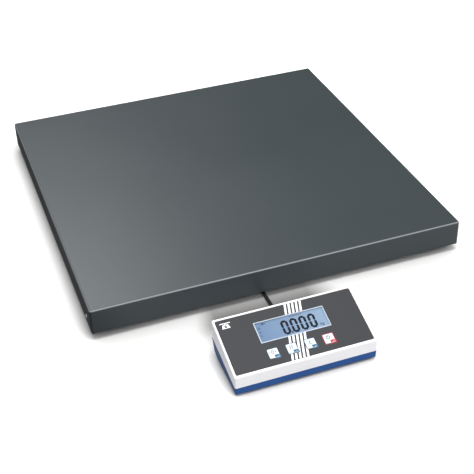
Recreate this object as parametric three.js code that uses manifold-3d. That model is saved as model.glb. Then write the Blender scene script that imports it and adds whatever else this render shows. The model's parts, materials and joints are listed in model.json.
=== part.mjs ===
// Platform shipping scale: a folded steel load plate on four bending-beam load cells with
// levelling feet, wired through a junction box to a separate wedge-shaped display console.
//
// Millimetres, +Z up, origin at the centre of the load surface. The console stands towards -Y.
// Every height named here is measured up from the floor; the two main groups shift it down to
// the origin.
import * as THREE from 'three';
import { mergeVertices } from 'three/addons/utils/BufferGeometryUtils.js';
import Module from 'manifold-3d';

const wasm = await Module();
wasm.setup();

// ---------------------------------------------------------------- driving dimensions: platform
const PLATE = 600; // width and depth of the load plate
const SURFACE = 54; // load surface above the floor
const SKIRT = 42; // depth of the folded skirt
const SHEET = 2.5; // steel sheet of the plate and its channels
const PLATE_CORNER = 3; // plan radius of the welded corners

const CHANNEL_WIDTH = 50;
const CHANNEL_DEPTH = 24;
const CHANNEL_LENGTH = 560;
const CHANNEL_X = 130; // centre line of each stiffener

const FOOT_INSET = 45; // foot axis from the plate's edges
const CELL_LENGTH = 114;
const CELL_WIDTH = 26;
const CELL_HEIGHT = 20;
const CELL_TOP = 45.5;
const BOLT_PITCH = 26; // the two bolts that hold a cell
const BOLT_FROM_END = 14; // first bolt from the cell's inner end
const CELL_PAST_FOOT = 19; // the cell reaches this far past its foot's axis
const POCKET = { radius: 8.5, depth: 9 }; // round pockets that leave a thin bending beam
const BOLT_PAD = { length: 56, margin: 2 }; // plate welded in over a cell's inner end
const BLIND_HOLE = { radius: 4.3, depth: 4 };
const M8 = 8;
const M10 = 10;
const M8_HEX = 13; // across flats
const M10_HEX = 17; // across flats
const M8_HEAD = 5.3; // height of a bolt's head
const M8_REACH = 3.5; // how far a bolt goes into its pad
const M10_NUT = 6; // height of a thin lock nut

const FOOT_RADIUS = 22;
const FOOT_HEIGHT = 9;
const SEAT_RADIUS = 6.5; // the stud's round end, which turns in the pad
const SPANNER_HEX = 4.2; // height of the stud's hexagon
const STUD_TOP = 44;

const BOX_SIZE = { x: 90, y: 60, z: 22 };
const BOX_CENTRE_Y = -120;
const BOX_WALL = 2.5;
const LID_THICKNESS = 3;
const LID_LIP = 1.2;
const BOARD_POST = { x: 32, y: 17, radius: 3 };
const CELL_PORT_SPREAD = 15; // the cell cables' ports, either side of the box's middle
const TERMINAL = { depth: 7.5, halfWidth: 6, bottom: 33 };
const GLAND = { nut: 6, length: 12, across: 14, radius: 6 };
const CABLE_PORT_Z = 36;
const CELL_CABLE_RADIUS = 2;
const LEAD_RADIUS = 2.5; // the cable to the console
const LEAD_PORT_X = -20;

// ----------------------------------------------------------------- driving dimensions: console
const CONSOLE = { width: 212, depth: 94, x: -42, frontY: -486 };
const BASE_BOTTOM = 3.5; // underside of the base above the floor
const SPLIT_FRONT = 16; // parting line at the front and back
const SPLIT_BACK = 33.5;
const TOP_FRONT = 33.5; // top edge at the front and back
const TOP_BACK = 62;
const PARTING_GAP = 0.4;
const WALL = 2.5;
const CONSOLE_CORNER = 2.5;
const BASE_DRAFT = 0.09; // the base's sides lean in by this share of their height
const REAR_ROUND = 14; // radius of the base's lower rear edge
const TALL = 80; // higher than the whole console
const PANEL_ANGLE = Math.atan2(TOP_BACK - TOP_FRONT, CONSOLE.depth);
const PANEL_LENGTH = Math.hypot(TOP_BACK - TOP_FRONT, CONSOLE.depth);
const RECESS = 1; // the keypad overlay lies in this recess
const ROOF = RECESS + WALL;
const FIT = 0.3; // clearance between pieces on the sloping panel

const OVERLAY = { width: 204.8, length: 90.4, thickness: 0.5 };
const DISPLAY = { width: 105.7, length: 35.2, x: 1, v: 59.6 };
const KEY = { size: 14.7, pitch: 27.6, x: -0.1, v: 22.5, proud: 0.4 };
const KEY_NAMES = ['key_zero', 'key_hold', 'key_tare', 'key_power'];
const BOARD_TOP = -12.4; // below the panel plane
const BOARD_THICKNESS = 1.6;
const SWITCH = { size: 6, height: 2 };
const BOARD_HALF = 76; // half the main board's width
const BOARD_V = [12, 84];
const DISPLAY_FLANGE = 3.8; // the display's frame reaches past its opening under the roof

const CELLS_IN_PACK = 6;
const BATTERY_RADIUS = 7.25;
const BATTERY_LENGTH = 50.5;
const BAY = { x: [-85, 5], front: 31 };
const BAY_RIB = { thickness: 2, top: 18, rear: 80 };
const COVER_TOP = BASE_BOTTOM + 2.2;
// The cover's tongues slide in these grooves.
const GROOVE = { z: [BASE_BOTTOM + 0.6, BASE_BOTTOM + 2], depth: 1.2 };
const GRIPS = { x: [-55, -25], y: [64, 68, 72], width: 1.5, depth: 0.6 };
const SOCKET_X = 60;
const LEAD_ENTRY_X = 11.5;
const REAR_PORT_Z = 25;
const SOCKET = { body: 11, barrel: 4, hole: 2.8, depth: 9, pin: 1 };
const GROMMET = { radius: 5.5, flange: 7.5, length: 3.5 };
const CONSOLE_FEET = { x: 91, y: [9, 71], radius: 7 };
const CONSOLE_SCREWS = [[-84, 22], [84, 22], [-97, 60], [97, 60]];
const SCREW = { head: 3.2, headZ: [8, 10.7], shank: 1.5, top: 28 };
const TOWER = { radius: 5, top: 14, counterbore: 3.6, seat: 11, hole: 1.9 };
const BOSS = { radius: 4, boreTop: 31 };
const MAIN_POST = { u: 70, v: [16, 80], radius: 3 };
const SCREW_NAMES = ['front_left', 'front_right', 'rear_left', 'rear_right'];

// ------------------------------------------------------------------------------------ materials
function finish(colour, roughness, metalness) {
  return new THREE.MeshStandardMaterial({ color: colour, roughness, metalness });
}
const powderCoat = finish(0x50585a, 0.55, 0.3);
const channelSteel = finish(0x3f4547, 0.6, 0.4);
const alloy = finish(0xb9bcc0, 0.35, 0.9);
const zincSteel = finish(0xa7abad, 0.35, 0.95);
const blackRubber = finish(0x1b1b1c, 0.9, 0);
const cableJacket = finish(0x111112, 0.6, 0);
const greyPlastic = finish(0x8b9094, 0.6, 0);
const boardGreen = finish(0x1d5a35, 0.5, 0.1);
const whitePlastic = finish(0xe8e8ec, 0.45, 0);
const bluePlastic = finish(0x2c3f95, 0.45, 0);
const overlayFilm = finish(0x595a5d, 0.5, 0);
const clearPane = new THREE.MeshStandardMaterial({
  color: 0xe8f4ff, roughness: 0.1, metalness: 0, transparent: true, opacity: 0.35,
});
const displayGlass = finish(0x9fc4e8, 0.15, 0);
const lightGuide = finish(0xdfefff, 0.3, 0);
const keyFilm = finish(0xe6f0f8, 0.4, 0);
const batteryWrap = finish(0x2f4f7a, 0.4, 0);
const blackPlastic = finish(0x18191b, 0.5, 0);

// -------------------------------------------------------------------------------- solid helpers
// A closed geometry as a solid that can be joined and cut.
function solid(geometry) {
  geometry.deleteAttribute('normal');
  geometry.deleteAttribute('uv');
  const merged = mergeVertices(geometry);
  const corners = [];
  for (let i = 0; i < merged.index.count; i += 3) {
    const [a, b, c] = [0, 1, 2].map((k) => merged.index.getX(i + k));
    if (a !== b && b !== c && c !== a) corners.push(a, b, c);
  }
  const vertProperties = new Float32Array(merged.attributes.position.array);
  const triVerts = new Uint32Array(corners);
  return new wasm.Manifold(new wasm.Mesh({ numProp: 3, vertProperties, triVerts }));
}

// A box from three ranges, moved by a matrix if one is given.
function block([x0, x1], [y0, y1], [z0, z1], matrix = new THREE.Matrix4()) {
  const geometry = new THREE.BoxGeometry(x1 - x0, y1 - y0, z1 - z0);
  geometry.translate((x0 + x1) / 2, (y0 + y1) / 2, (z0 + z1) / 2);
  geometry.applyMatrix4(matrix);
  return solid(geometry);
}

// A round or polygonal bar along Z; six sides make a hexagon.
function rod(x, y, [z0, z1], radius, sides = 16, matrix = new THREE.Matrix4()) {
  const geometry = new THREE.CylinderGeometry(radius, radius, z1 - z0, sides);
  geometry.rotateX(Math.PI / 2);
  geometry.translate(x, y, (z0 + z1) / 2);
  geometry.applyMatrix4(matrix);
  return solid(geometry);
}

// The same along Y and along X.
function rodAlongY(x, z, [y0, y1], radius, sides = 16) {
  const geometry = new THREE.CylinderGeometry(radius, radius, y1 - y0, sides);
  geometry.translate(x, (y0 + y1) / 2, z);
  return solid(geometry);
}
function rodAlongX(y, z, [x0, x1], radius, sides = 16) {
  const geometry = new THREE.CylinderGeometry(radius, radius, x1 - x0, sides);
  geometry.rotateZ(Math.PI / 2);
  geometry.translate((x0 + x1) / 2, y, z);
  return solid(geometry);
}

// A rounded rectangle in plan, and the same raised from z0 to z1.
const EXTRUDE = { bevelEnabled: false, curveSegments: 3 };
function roundedShape([x0, x1], [y0, y1], radius) {
  const shape = new THREE.Shape();
  shape.absarc(x1 - radius, y1 - radius, radius, 0, Math.PI / 2);
  shape.absarc(x0 + radius, y1 - radius, radius, Math.PI / 2, Math.PI);
  shape.absarc(x0 + radius, y0 + radius, radius, Math.PI, Math.PI * 1.5);
  shape.absarc(x1 - radius, y0 + radius, radius, Math.PI * 1.5, Math.PI * 2);
  return shape;
}
function roundedPlan(x, y, [z0, z1], radius) {
  const shape = roundedShape(x, y, radius);
  const geometry = new THREE.ExtrudeGeometry(shape, { ...EXTRUDE, depth: z1 - z0 });
  geometry.translate(0, 0, z0);
  return solid(geometry);
}

// A solid of revolution about Z from [radius, height] points, listed from the axis at the
// bottom, outwards, up and back in to the axis.
function turned(profile, sides) {
  const points = profile.map(([r, z]) => new THREE.Vector2(r, z));
  const geometry = new THREE.LatheGeometry(points, sides);
  geometry.rotateX(Math.PI / 2);
  return solid(geometry);
}

// A round cable through way-points, with its corners rounded off.
function cable(wayPoints, radius, bend, steps, sides) {
  const points = wayPoints.map(([x, y, z]) => new THREE.Vector3(x, y, z));
  const path = new THREE.CurvePath();
  let from = points[0];
  for (let i = 1; i < points.length - 1; i += 1) {
    const corner = points[i];
    const before = Math.min(bend, corner.distanceTo(points[i - 1]) / 2);
    const after = Math.min(bend, corner.distanceTo(points[i + 1]) / 2);
    const start = corner.clone().lerp(points[i - 1], before / corner.distanceTo(points[i - 1]));
    const end = corner.clone().lerp(points[i + 1], after / corner.distanceTo(points[i + 1]));
    if (from.distanceTo(start) > 0.01) path.add(new THREE.LineCurve3(from, start));
    path.add(new THREE.QuadraticBezierCurve3(start, corner, end));
    from = end;
  }
  path.add(new THREE.LineCurve3(from, points[points.length - 1]));
  const circle = new THREE.Shape();
  circle.absarc(0, 0, radius, 0, Math.PI * 2);
  const options = { steps, extrudePath: path, curveSegments: sides / 2 };
  return solid(new THREE.ExtrudeGeometry(circle, options));
}

// A range on one side of the centre: span(-1, 10, 30) runs from -30 to -10.
function span(side, near, far) {
  return side > 0 ? [near, far] : [-far, -near];
}

// A range of the given width about a centre.
function about(centre, width) {
  return [centre - width / 2, centre + width / 2];
}

// Puts one finished solid into a group as a named sub-part.
function piece(group, name, shape, material) {
  const { vertProperties, triVerts } = shape.getMesh();
  const geometry = new THREE.BufferGeometry();
  geometry.setAttribute('position', new THREE.BufferAttribute(vertProperties, 3));
  geometry.setIndex(new THREE.BufferAttribute(triVerts, 1));
  geometry.computeVertexNormals();
  const mesh = new THREE.Mesh(geometry, material);
  mesh.name = name;
  group.add(mesh);
}

// ------------------------------------------------------------------- platform: derived positions
const HALF_PLATE = PLATE / 2;
const SKIRT_BOTTOM = SURFACE - SKIRT;
const PLATE_UNDER = SURFACE - SHEET;
const FOOT_AXIS = HALF_PLATE - FOOT_INSET;
const CELL_BOTTOM = CELL_TOP - CELL_HEIGHT;
const CELL_OUTER = FOOT_AXIS + CELL_PAST_FOOT;
const CELL_INNER = CELL_OUTER - CELL_LENGTH;
const CELL_SIDE = [FOOT_AXIS - CELL_WIDTH / 2, FOOT_AXIS + CELL_WIDTH / 2];
const BOLTS_X = [CELL_INNER + BOLT_FROM_END, CELL_INNER + BOLT_FROM_END + BOLT_PITCH];
const HEX = 2 / Math.sqrt(3); // corner to corner over across flats
const CORNERS = [
  ['front_left', -1, -1],
  ['front_right', 1, -1],
  ['rear_left', -1, 1],
  ['rear_right', 1, 1],
];

// --------------------------------------------------------------------------- platform: structure
function loadPlate() {
  const outside = [-HALF_PLATE, HALF_PLATE];
  const inside = [-HALF_PLATE + SHEET, HALF_PLATE - SHEET];
  let plate = roundedPlan(outside, outside, [SKIRT_BOTTOM, SURFACE], PLATE_CORNER);
  plate = plate.subtract(block(inside, inside, [0, PLATE_UNDER]));
  for (const [, sx, sy] of CORNERS) {
    // A welded pad takes the two bolts of each load cell in blind threads.
    const padX = span(sx, CELL_INNER, CELL_INNER + BOLT_PAD.length);
    const padY = span(sy, CELL_SIDE[0] - BOLT_PAD.margin, CELL_SIDE[1] + BOLT_PAD.margin);
    plate = plate.add(block(padX, padY, [CELL_TOP, PLATE_UNDER]));
  }
  const hole = [CELL_TOP - 1, CELL_TOP + BLIND_HOLE.depth];
  for (const [, sx, sy] of CORNERS) {
    for (const x of BOLTS_X) {
      plate = plate.subtract(rod(sx * x, sy * FOOT_AXIS, hole, BLIND_HOLE.radius, 12));
    }
  }
  return plate;
}

// A channel that opens upwards, welded to the plate by the edges of its two flanges.
function channel(centre, length, alongY) {
  const half = CHANNEL_WIDTH / 2;
  const across = [centre - half, centre + half];
  const hollow = [centre - half + SHEET, centre + half - SHEET];
  const along = [-length / 2, length / 2];
  const open = [-length, length];
  const outer = [PLATE_UNDER - CHANNEL_DEPTH, PLATE_UNDER];
  const inner = [outer[0] + SHEET, SURFACE];
  if (alongY) return block(across, along, outer).subtract(block(hollow, open, inner));
  return block(along, across, outer).subtract(block(open, hollow, inner));
}

// ---------------------------------------------------------------- platform: load cells and feet
function loadCell(sx, sy) {
  const height = [CELL_BOTTOM, CELL_TOP];
  const through = [CELL_BOTTOM - 1, CELL_TOP + 1];
  const pocketX = sx * (BOLTS_X[1] + FOOT_AXIS) / 2;
  const middle = CELL_BOTTOM + CELL_HEIGHT / 2;
  let cell = block(span(sx, CELL_INNER, CELL_OUTER), span(sy, ...CELL_SIDE), height);
  for (const x of BOLTS_X) {
    cell = cell.subtract(rod(sx * x, sy * FOOT_AXIS, through, M8 / 2 + 0.5, 12));
  }
  cell = cell.subtract(rod(sx * FOOT_AXIS, sy * FOOT_AXIS, through, M10 / 2 + 0.4));
  const nearSide = span(sy, CELL_SIDE[0] - 1, CELL_SIDE[0] + POCKET.depth);
  const farSide = span(sy, CELL_SIDE[1] - POCKET.depth, CELL_SIDE[1] + 1);
  for (const depth of [nearSide, farSide]) {
    cell = cell.subtract(rodAlongY(pocketX, middle, depth, POCKET.radius, 20));
  }
  return cell;
}

function cellBolt(x, y) {
  const head = rod(x, y, [CELL_BOTTOM - M8_HEAD, CELL_BOTTOM], (M8_HEX / 2) * HEX, 6);
  return head.add(rod(x, y, [CELL_BOTTOM - 1, CELL_TOP + M8_REACH], M8 / 2, 12));
}

function lockNut(x, y) {
  const nut = rod(x, y, [CELL_BOTTOM - M10_NUT, CELL_BOTTOM], (M10_HEX / 2) * HEX, 6);
  return nut.subtract(rod(x, y, [0, SURFACE], M10 / 2 + 0.4, 12));
}

// The stud's round end turns in the rubber pad; the hexagon above it takes a spanner.
function footStud() {
  const seat = FOOT_HEIGHT / 2 - 0.2;
  const hexagon = [FOOT_HEIGHT + FIT, FOOT_HEIGHT + FIT + SPANNER_HEX];
  const neck = hexagon[0] + 1;
  const shaft = turned([
    [0, seat], [SEAT_RADIUS, seat], [SEAT_RADIUS, neck], [M10 / 2, neck],
    [M10 / 2, STUD_TOP - 1], [M10 / 2 - 1, STUD_TOP], [0, STUD_TOP],
  ], 16);
  return shaft.add(rod(0, 0, hexagon, (M10_HEX / 2) * HEX, 6));
}

function footPad() {
  const recess = FOOT_HEIGHT / 2 - 0.5;
  const socket = SEAT_RADIUS + 1;
  const chamfer = 4;
  return turned([
    [0, 0], [FOOT_RADIUS - 1, 0], [FOOT_RADIUS, 1], [FOOT_RADIUS, FOOT_HEIGHT - chamfer],
    [FOOT_RADIUS - chamfer, FOOT_HEIGHT], [socket, FOOT_HEIGHT], [socket, recess], [0, recess],
  ], 24);
}

// ------------------------------------------------------------------------ platform: junction box
const BOX = {
  x: [-BOX_SIZE.x / 2, BOX_SIZE.x / 2],
  y: [BOX_CENTRE_Y - BOX_SIZE.y / 2, BOX_CENTRE_Y + BOX_SIZE.y / 2],
  z: [PLATE_UNDER - BOX_SIZE.z, PLATE_UNDER],
};
const BOX_BOARD = { x: 75, y: 45, z: [40, 41.6] };
const CELL_PORT_Y = [BOX_CENTRE_Y - CELL_PORT_SPREAD, BOX_CENTRE_Y + CELL_PORT_SPREAD];

function inset([from, to], amount) {
  return [from + amount, to - amount];
}

function junctionBox() {
  const ceiling = PLATE_UNDER - BOX_WALL;
  let box = block(BOX.x, BOX.y, BOX.z);
  box = box.subtract(block(inset(BOX.x, BOX_WALL), inset(BOX.y, BOX_WALL), [0, ceiling]));
  for (const x of [-BOARD_POST.x, BOARD_POST.x]) {
    for (const y of [BOX_CENTRE_Y - BOARD_POST.y, BOX_CENTRE_Y + BOARD_POST.y]) {
      box = box.add(rod(x, y, [BOX_BOARD.z[1], ceiling + 1], BOARD_POST.radius, 12));
    }
  }
  for (const y of CELL_PORT_Y) {
    const across = inset(BOX.x, -1);
    box = box.subtract(rodAlongX(y, CABLE_PORT_Z, across, CELL_CABLE_RADIUS + 0.4, 12));
  }
  const frontWall = [BOX.y[0] - 1, BOX.y[0] + BOX_WALL + 1];
  return box.subtract(rodAlongY(LEAD_PORT_X, CABLE_PORT_Z, frontWall, LEAD_RADIUS + 0.3, 12));
}

function junctionLid() {
  const lidBottom = BOX.z[0] - LID_THICKNESS;
  const lid = block(BOX.x, BOX.y, [lidBottom, BOX.z[0]]);
  const lip = BOX_WALL + FIT;
  const lipZ = [BOX.z[0] - 1, BOX.z[0] + LID_LIP];
  return lid.add(block(inset(BOX.x, lip), inset(BOX.y, lip), lipZ));
}

// The summing board hangs under the box's posts, with one terminal block for each cable.
function summingBoard() {
  const half = { x: BOX_BOARD.x / 2, y: BOX_BOARD.y / 2 };
  const boardY = [BOX_CENTRE_Y - half.y, BOX_CENTRE_Y + half.y];
  const blockZ = [TERMINAL.bottom, BOX_BOARD.z[0] + 0.5];
  const edge = 0.5;
  let board = block([-half.x, half.x], boardY, BOX_BOARD.z);
  for (const side of [-1, 1]) {
    for (const y of CELL_PORT_Y) {
      const blockX = span(side, half.x - edge - TERMINAL.depth, half.x - edge);
      board = board.add(block(blockX, about(y, 2 * TERMINAL.halfWidth), blockZ));
    }
  }
  const leadX = about(LEAD_PORT_X, 2 * TERMINAL.halfWidth + 4);
  const leadY = [boardY[0] + 1, boardY[0] + 1 + TERMINAL.depth];
  return board.add(block(leadX, leadY, blockZ));
}

function cableGland() {
  const wall = BOX.y[0];
  const nut = (GLAND.across / 2) * HEX;
  let gland = rodAlongY(LEAD_PORT_X, CABLE_PORT_Z, [wall - GLAND.nut, wall], nut, 6);
  const barrel = [wall - GLAND.length, wall - 1];
  gland = gland.add(rodAlongY(LEAD_PORT_X, CABLE_PORT_Z, barrel, GLAND.radius));
  const bore = [wall - GLAND.length - 1, wall + 1];
  return gland.subtract(rodAlongY(LEAD_PORT_X, CABLE_PORT_Z, bore, LEAD_RADIUS + 0.3, 12));
}

// ------------------------------------------------------------------------------ platform: cables
// A cell's cable leaves its inner side, drops below the channels and runs to the junction box.
function cellCable(sx, sy) {
  const low = PLATE_UNDER - CHANNEL_DEPTH - CELL_CABLE_RADIUS - 1;
  const exitX = CELL_INNER + 10; // level with the gauges' wiring hole
  const exitZ = CELL_BOTTOM + 7.5;
  const side = CELL_SIDE[0] - FIT;
  const portY = sy < 0 ? CELL_PORT_Y[0] : CELL_PORT_Y[1];
  const turnY = sy < 0 ? -side + 35 : portY + 40;
  const riser = BOX_SIZE.x / 2 + 12;
  const route = [
    [exitX, sy * side, exitZ],
    [exitX, sy * (side - 14), exitZ],
    [exitX, sy * (side - 22), low],
    [exitX, turnY, low],
    [riser + 12, portY, low],
    [riser, portY, low],
    [riser, portY, CABLE_PORT_Z],
    [BOX_SIZE.x / 2 - BOX_WALL - 3, portY, CABLE_PORT_Z],
  ];
  return cable(route.map(([x, y, z]) => [sx * x, y, z]), CELL_CABLE_RADIUS, 7, 36, 6);
}

// The cable to the console keeps a loop of slack on the floor under the plate.
function consoleCable() {
  const floor = LEAD_RADIUS + 0.2;
  const leadX = CONSOLE.x + LEAD_ENTRY_X;
  const rearWall = CONSOLE.frontY + CONSOLE.depth;
  const front = BOX.y[0];
  return cable([
    [LEAD_PORT_X, front + 6, CABLE_PORT_Z],
    [LEAD_PORT_X, front - 26, CABLE_PORT_Z],
    [LEAD_PORT_X, front - 38, floor],
    [LEAD_PORT_X - 6, front - 50, floor],
    [leadX - 26, front - 64, floor],
    [leadX - 26, front - 78, floor],
    [leadX + 22, front - 94, floor],
    [leadX + 22, front - 108, floor],
    [leadX, front - 126, floor],
    [leadX, rearWall + 52, floor],
    [leadX, rearWall + 24, REAR_PORT_Z],
    [leadX, rearWall - 6, REAR_PORT_Z],
  ], LEAD_RADIUS, 13, 80, 8);
}

// ---------------------------------------------------------------- console: outlines and the panel
const SLOPE = (TOP_BACK - TOP_FRONT) / CONSOLE.depth;
const HALF_WIDTH = CONSOLE.width / 2;
// The panel's frame: u across, v up the slope from the front edge, w out of the surface.
const panelMatrix = new THREE.Matrix4()
  .makeTranslation(0, 0, TOP_FRONT)
  .multiply(new THREE.Matrix4().makeRotationX(PANEL_ANGLE));
const OVERLAY_V = (PANEL_LENGTH - OVERLAY.length) / 2;
const LEVEL = {
  overlay: [-RECESS + FIT, -RECESS + FIT + OVERLAY.thickness],
  window: [-1.9, -0.4],
  glass: [-ROOF - FIT, -2.2],
  glassFlange: [-ROOF - FIT - 0.8, -ROOF - FIT],
  backlight: [-8.6, -4.9],
  keyFlange: [-ROOF - FIT - 1, -ROOF - FIT],
  switchTop: BOARD_TOP + SWITCH.height,
};
const KEY_TRAVEL = 0.5;
const REAR_STEPS = 5; // facets of the base's rounded rear edge

// A prism across the console's width with the given [y, z] outline.
function prism(outline, x0, x1) {
  const shape = new THREE.Shape(outline.map(([y, z]) => new THREE.Vector2(y, z)));
  const options = { depth: x1 - x0, bevelEnabled: false };
  const geometry = new THREE.ExtrudeGeometry(shape, options);
  const turn = new THREE.Matrix4().set(0, 0, 1, x0, 1, 0, 0, 0, 0, 1, 0, 0, 0, 0, 0, 1);
  geometry.applyMatrix4(turn);
  return solid(geometry);
}

// The console's height at y, at a depth under the sloping top.
function underTop(y, depth) {
  return TOP_FRONT + y * SLOPE - depth / Math.cos(PANEL_ANGLE);
}

function consolePlan() {
  return roundedPlan([-HALF_WIDTH, HALF_WIDTH], [0, CONSOLE.depth], [0, TALL], CONSOLE_CORNER);
}

function keyX(index) {
  return KEY.x + (index - (KEY_NAMES.length - 1) / 2) * KEY.pitch;
}

// --------------------------------------------------------------------------- console: the shells
function topShell() {
  const { depth } = CONSOLE;
  const back = depth - WALL;
  const inner = [-HALF_WIDTH + WALL, HALF_WIDTH - WALL];
  let shell = prism([
    [0, SPLIT_FRONT + PARTING_GAP], [depth, SPLIT_BACK + PARTING_GAP],
    [depth, TOP_BACK], [0, TOP_FRONT],
  ], -HALF_WIDTH, HALF_WIDTH).intersect(consolePlan());
  shell = shell.subtract(prism([
    [WALL, 0], [back, 0], [back, underTop(back, ROOF)], [WALL, underTop(WALL, ROOF)],
  ], ...inner));

  // Screw bosses stand down from the roof, and four posts carry the main board.
  const roofLimit = prism([
    [WALL - 1, 0], [back + 1, 0],
    [back + 1, underTop(back + 1, ROOF - 1)], [WALL - 1, underTop(WALL - 1, ROOF - 1)],
  ], ...inner);
  for (const [x, y] of CONSOLE_SCREWS) {
    const bore = rod(x, y, [TOWER.seat, BOSS.boreTop], TOWER.hole, 12);
    const boss = rod(x, y, [TOWER.top + FIT, TALL], BOSS.radius).subtract(bore);
    shell = shell.add(boss.intersect(roofLimit));
  }
  const postZ = [BOARD_TOP + FIT, -ROOF + 1];
  for (const u of [-MAIN_POST.u, MAIN_POST.u]) {
    for (const v of MAIN_POST.v) {
      shell = shell.add(rod(u, v, postZ, MAIN_POST.radius, 12, panelMatrix));
    }
  }

  // The recess for the overlay, the display opening and the key openings.
  const recessU = about(0, OVERLAY.width + 2 * FIT);
  const recessV = about(PANEL_LENGTH / 2, OVERLAY.length + 2 * FIT);
  shell = shell.subtract(block(recessU, recessV, [-RECESS, 5], panelMatrix));
  const cut = [-ROOF - 2, 5];
  const openU = about(DISPLAY.x, DISPLAY.width);
  const openV = about(DISPLAY.v, DISPLAY.length);
  shell = shell.subtract(block(openU, openV, cut, panelMatrix));
  KEY_NAMES.forEach((name, index) => {
    const keyU = about(keyX(index), KEY.size + 2 * FIT);
    shell = shell.subtract(block(keyU, about(KEY.v, KEY.size + 2 * FIT), cut, panelMatrix));
  });
  return shell;
}

// The space inside the base's skin, or inside its walls when it is drawn in by an amount: the
// sides lean in towards the bottom, and the lower rear edge is rounded.
function baseBody(amount) {
  const { depth } = CONSOLE;
  const bottom = BASE_BOTTOM + amount;
  const plan = [inset([-HALF_WIDTH, HALF_WIDTH], amount), inset([0, depth], amount)];
  const shape = roundedShape(...plan, CONSOLE_CORNER - amount / 2);
  const geometry = new THREE.ExtrudeGeometry(shape, { ...EXTRUDE, depth: 1 });
  const { position } = geometry.attributes;
  for (let i = 0; i < position.count; i += 1) {
    const [x, y] = [position.getX(i), position.getY(i)];
    const split = SPLIT_FRONT + (y / depth) * (SPLIT_BACK - SPLIT_FRONT);
    const lean = (split - bottom) * BASE_DRAFT * Math.sign(x);
    if (position.getZ(i) > 0.5) position.setZ(i, split + amount);
    else position.setXYZ(i, x - lean, y, bottom);
  }
  return solid(geometry).subtract(lowerRearCorner(REAR_ROUND - amount));
}

// What a rounded lower rear edge of the given radius leaves out.
function lowerRearCorner(radius) {
  const [y, z] = [CONSOLE.depth - REAR_ROUND, BASE_BOTTOM + REAR_ROUND];
  const outline = [[y, 0]];
  for (let step = 0; step <= REAR_STEPS; step += 1) {
    const angle = (step / REAR_STEPS) * (Math.PI / 2);
    outline.push([y + radius * Math.sin(angle), z - radius * Math.cos(angle)]);
  }
  outline.push([CONSOLE.depth + 5, z], [CONSOLE.depth + 5, 0]);
  return prism(outline, -HALF_WIDTH - 5, HALF_WIDTH + 5);
}

function baseShell() {
  const { depth } = CONSOLE;
  const floor = BASE_BOTTOM + WALL;
  let shell = baseBody(0).subtract(baseBody(WALL));

  // Screw towers with a counterbore from below.
  for (const [x, y] of CONSOLE_SCREWS) {
    shell = shell.add(rod(x, y, [floor - 1, TOWER.top], TOWER.radius));
    shell = shell.subtract(rod(x, y, [0, TOWER.seat], TOWER.counterbore));
    shell = shell.subtract(rod(x, y, [TOWER.seat - 1, TOWER.top + 1], TOWER.hole, 12));
  }

  // The battery bay: side and front ribs, the opening, and the grooves its cover slides in.
  const ribZ = [floor - 0.5, BAY_RIB.top];
  const ribY = [BAY.front + 2, BAY_RIB.rear];
  const [left, right] = BAY.x;
  const outside = BAY_RIB.thickness + 0.2;
  shell = shell.add(block([left - outside, left - 0.2], ribY, ribZ));
  shell = shell.add(block([right + 0.2, right + outside], ribY, ribZ));
  shell = shell.add(block(BAY.x, [BAY.front - 1.6, BAY.front - 0.1], ribZ));
  shell = shell.subtract(block(BAY.x, [BAY.front, depth + 1], [0, floor]));
  const grooveX = inset(BAY.x, -GROOVE.depth);
  shell = shell.subtract(block(grooveX, [BAY.front + 2, depth + 1], GROOVE.z));

  // Rear ports for the cable and the power plug.
  const through = [depth - WALL - 1, depth + 1];
  const leadHole = GROMMET.radius + 0.5;
  shell = shell.subtract(rodAlongY(LEAD_ENTRY_X, REAR_PORT_Z, through, leadHole, 20));
  return shell.subtract(rodAlongY(SOCKET_X, REAR_PORT_Z, through, SOCKET.barrel + 0.6, 20));
}

function batteryCover() {
  const [left, right] = BAY.x;
  const { depth } = CONSOLE;
  const edge = BAY.front + FIT;
  let cover = block([left + FIT, right - FIT], [edge, depth], [BASE_BOTTOM, COVER_TOP]);
  const tongue = inset(BAY.x, FIT - GROOVE.depth);
  cover = cover.add(block(tongue, [edge + 3, depth], inset(GROOVE.z, FIT)));
  for (const y of GRIPS.y) {
    const cut = [0, BASE_BOTTOM + GRIPS.depth];
    cover = cover.subtract(block(GRIPS.x, [y, y + GRIPS.width], cut));
  }
  return cover.subtract(lowerRearCorner(REAR_ROUND));
}

function consoleScrew(x, y) {
  const shank = rod(x, y, [SCREW.headZ[1] - 1, SCREW.top], SCREW.shank, 12);
  return rod(x, y, SCREW.headZ, SCREW.head, 12).add(shank);
}

// ------------------------------------------------------------------- console: the sloping panel
function keypadOverlay() {
  const sheetV = about(PANEL_LENGTH / 2, OVERLAY.length);
  const cut = [-5, 5];
  let sheet = block(about(0, OVERLAY.width), sheetV, LEVEL.overlay);
  const openV = about(DISPLAY.v, DISPLAY.length);
  sheet = sheet.subtract(block(about(DISPLAY.x, DISPLAY.width), openV, cut));
  KEY_NAMES.forEach((name, index) => {
    const keyU = about(keyX(index), KEY.size + 2 * FIT);
    sheet = sheet.subtract(block(keyU, about(KEY.v, KEY.size + 2 * FIT), cut));
  });
  return sheet;
}

// A plate centred on the display opening, larger than it by the given margin on each side.
function displayLayer(margin, level) {
  const u = about(DISPLAY.x, DISPLAY.width + 2 * margin);
  return block(u, about(DISPLAY.v, DISPLAY.length + 2 * margin), level);
}

function lcdPanel() {
  const glass = displayLayer(-FIT, [LEVEL.glass[0] - 0.2, LEVEL.glass[1]]);
  return glass.add(displayLayer(DISPLAY_FLANGE, LEVEL.glassFlange));
}

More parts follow.
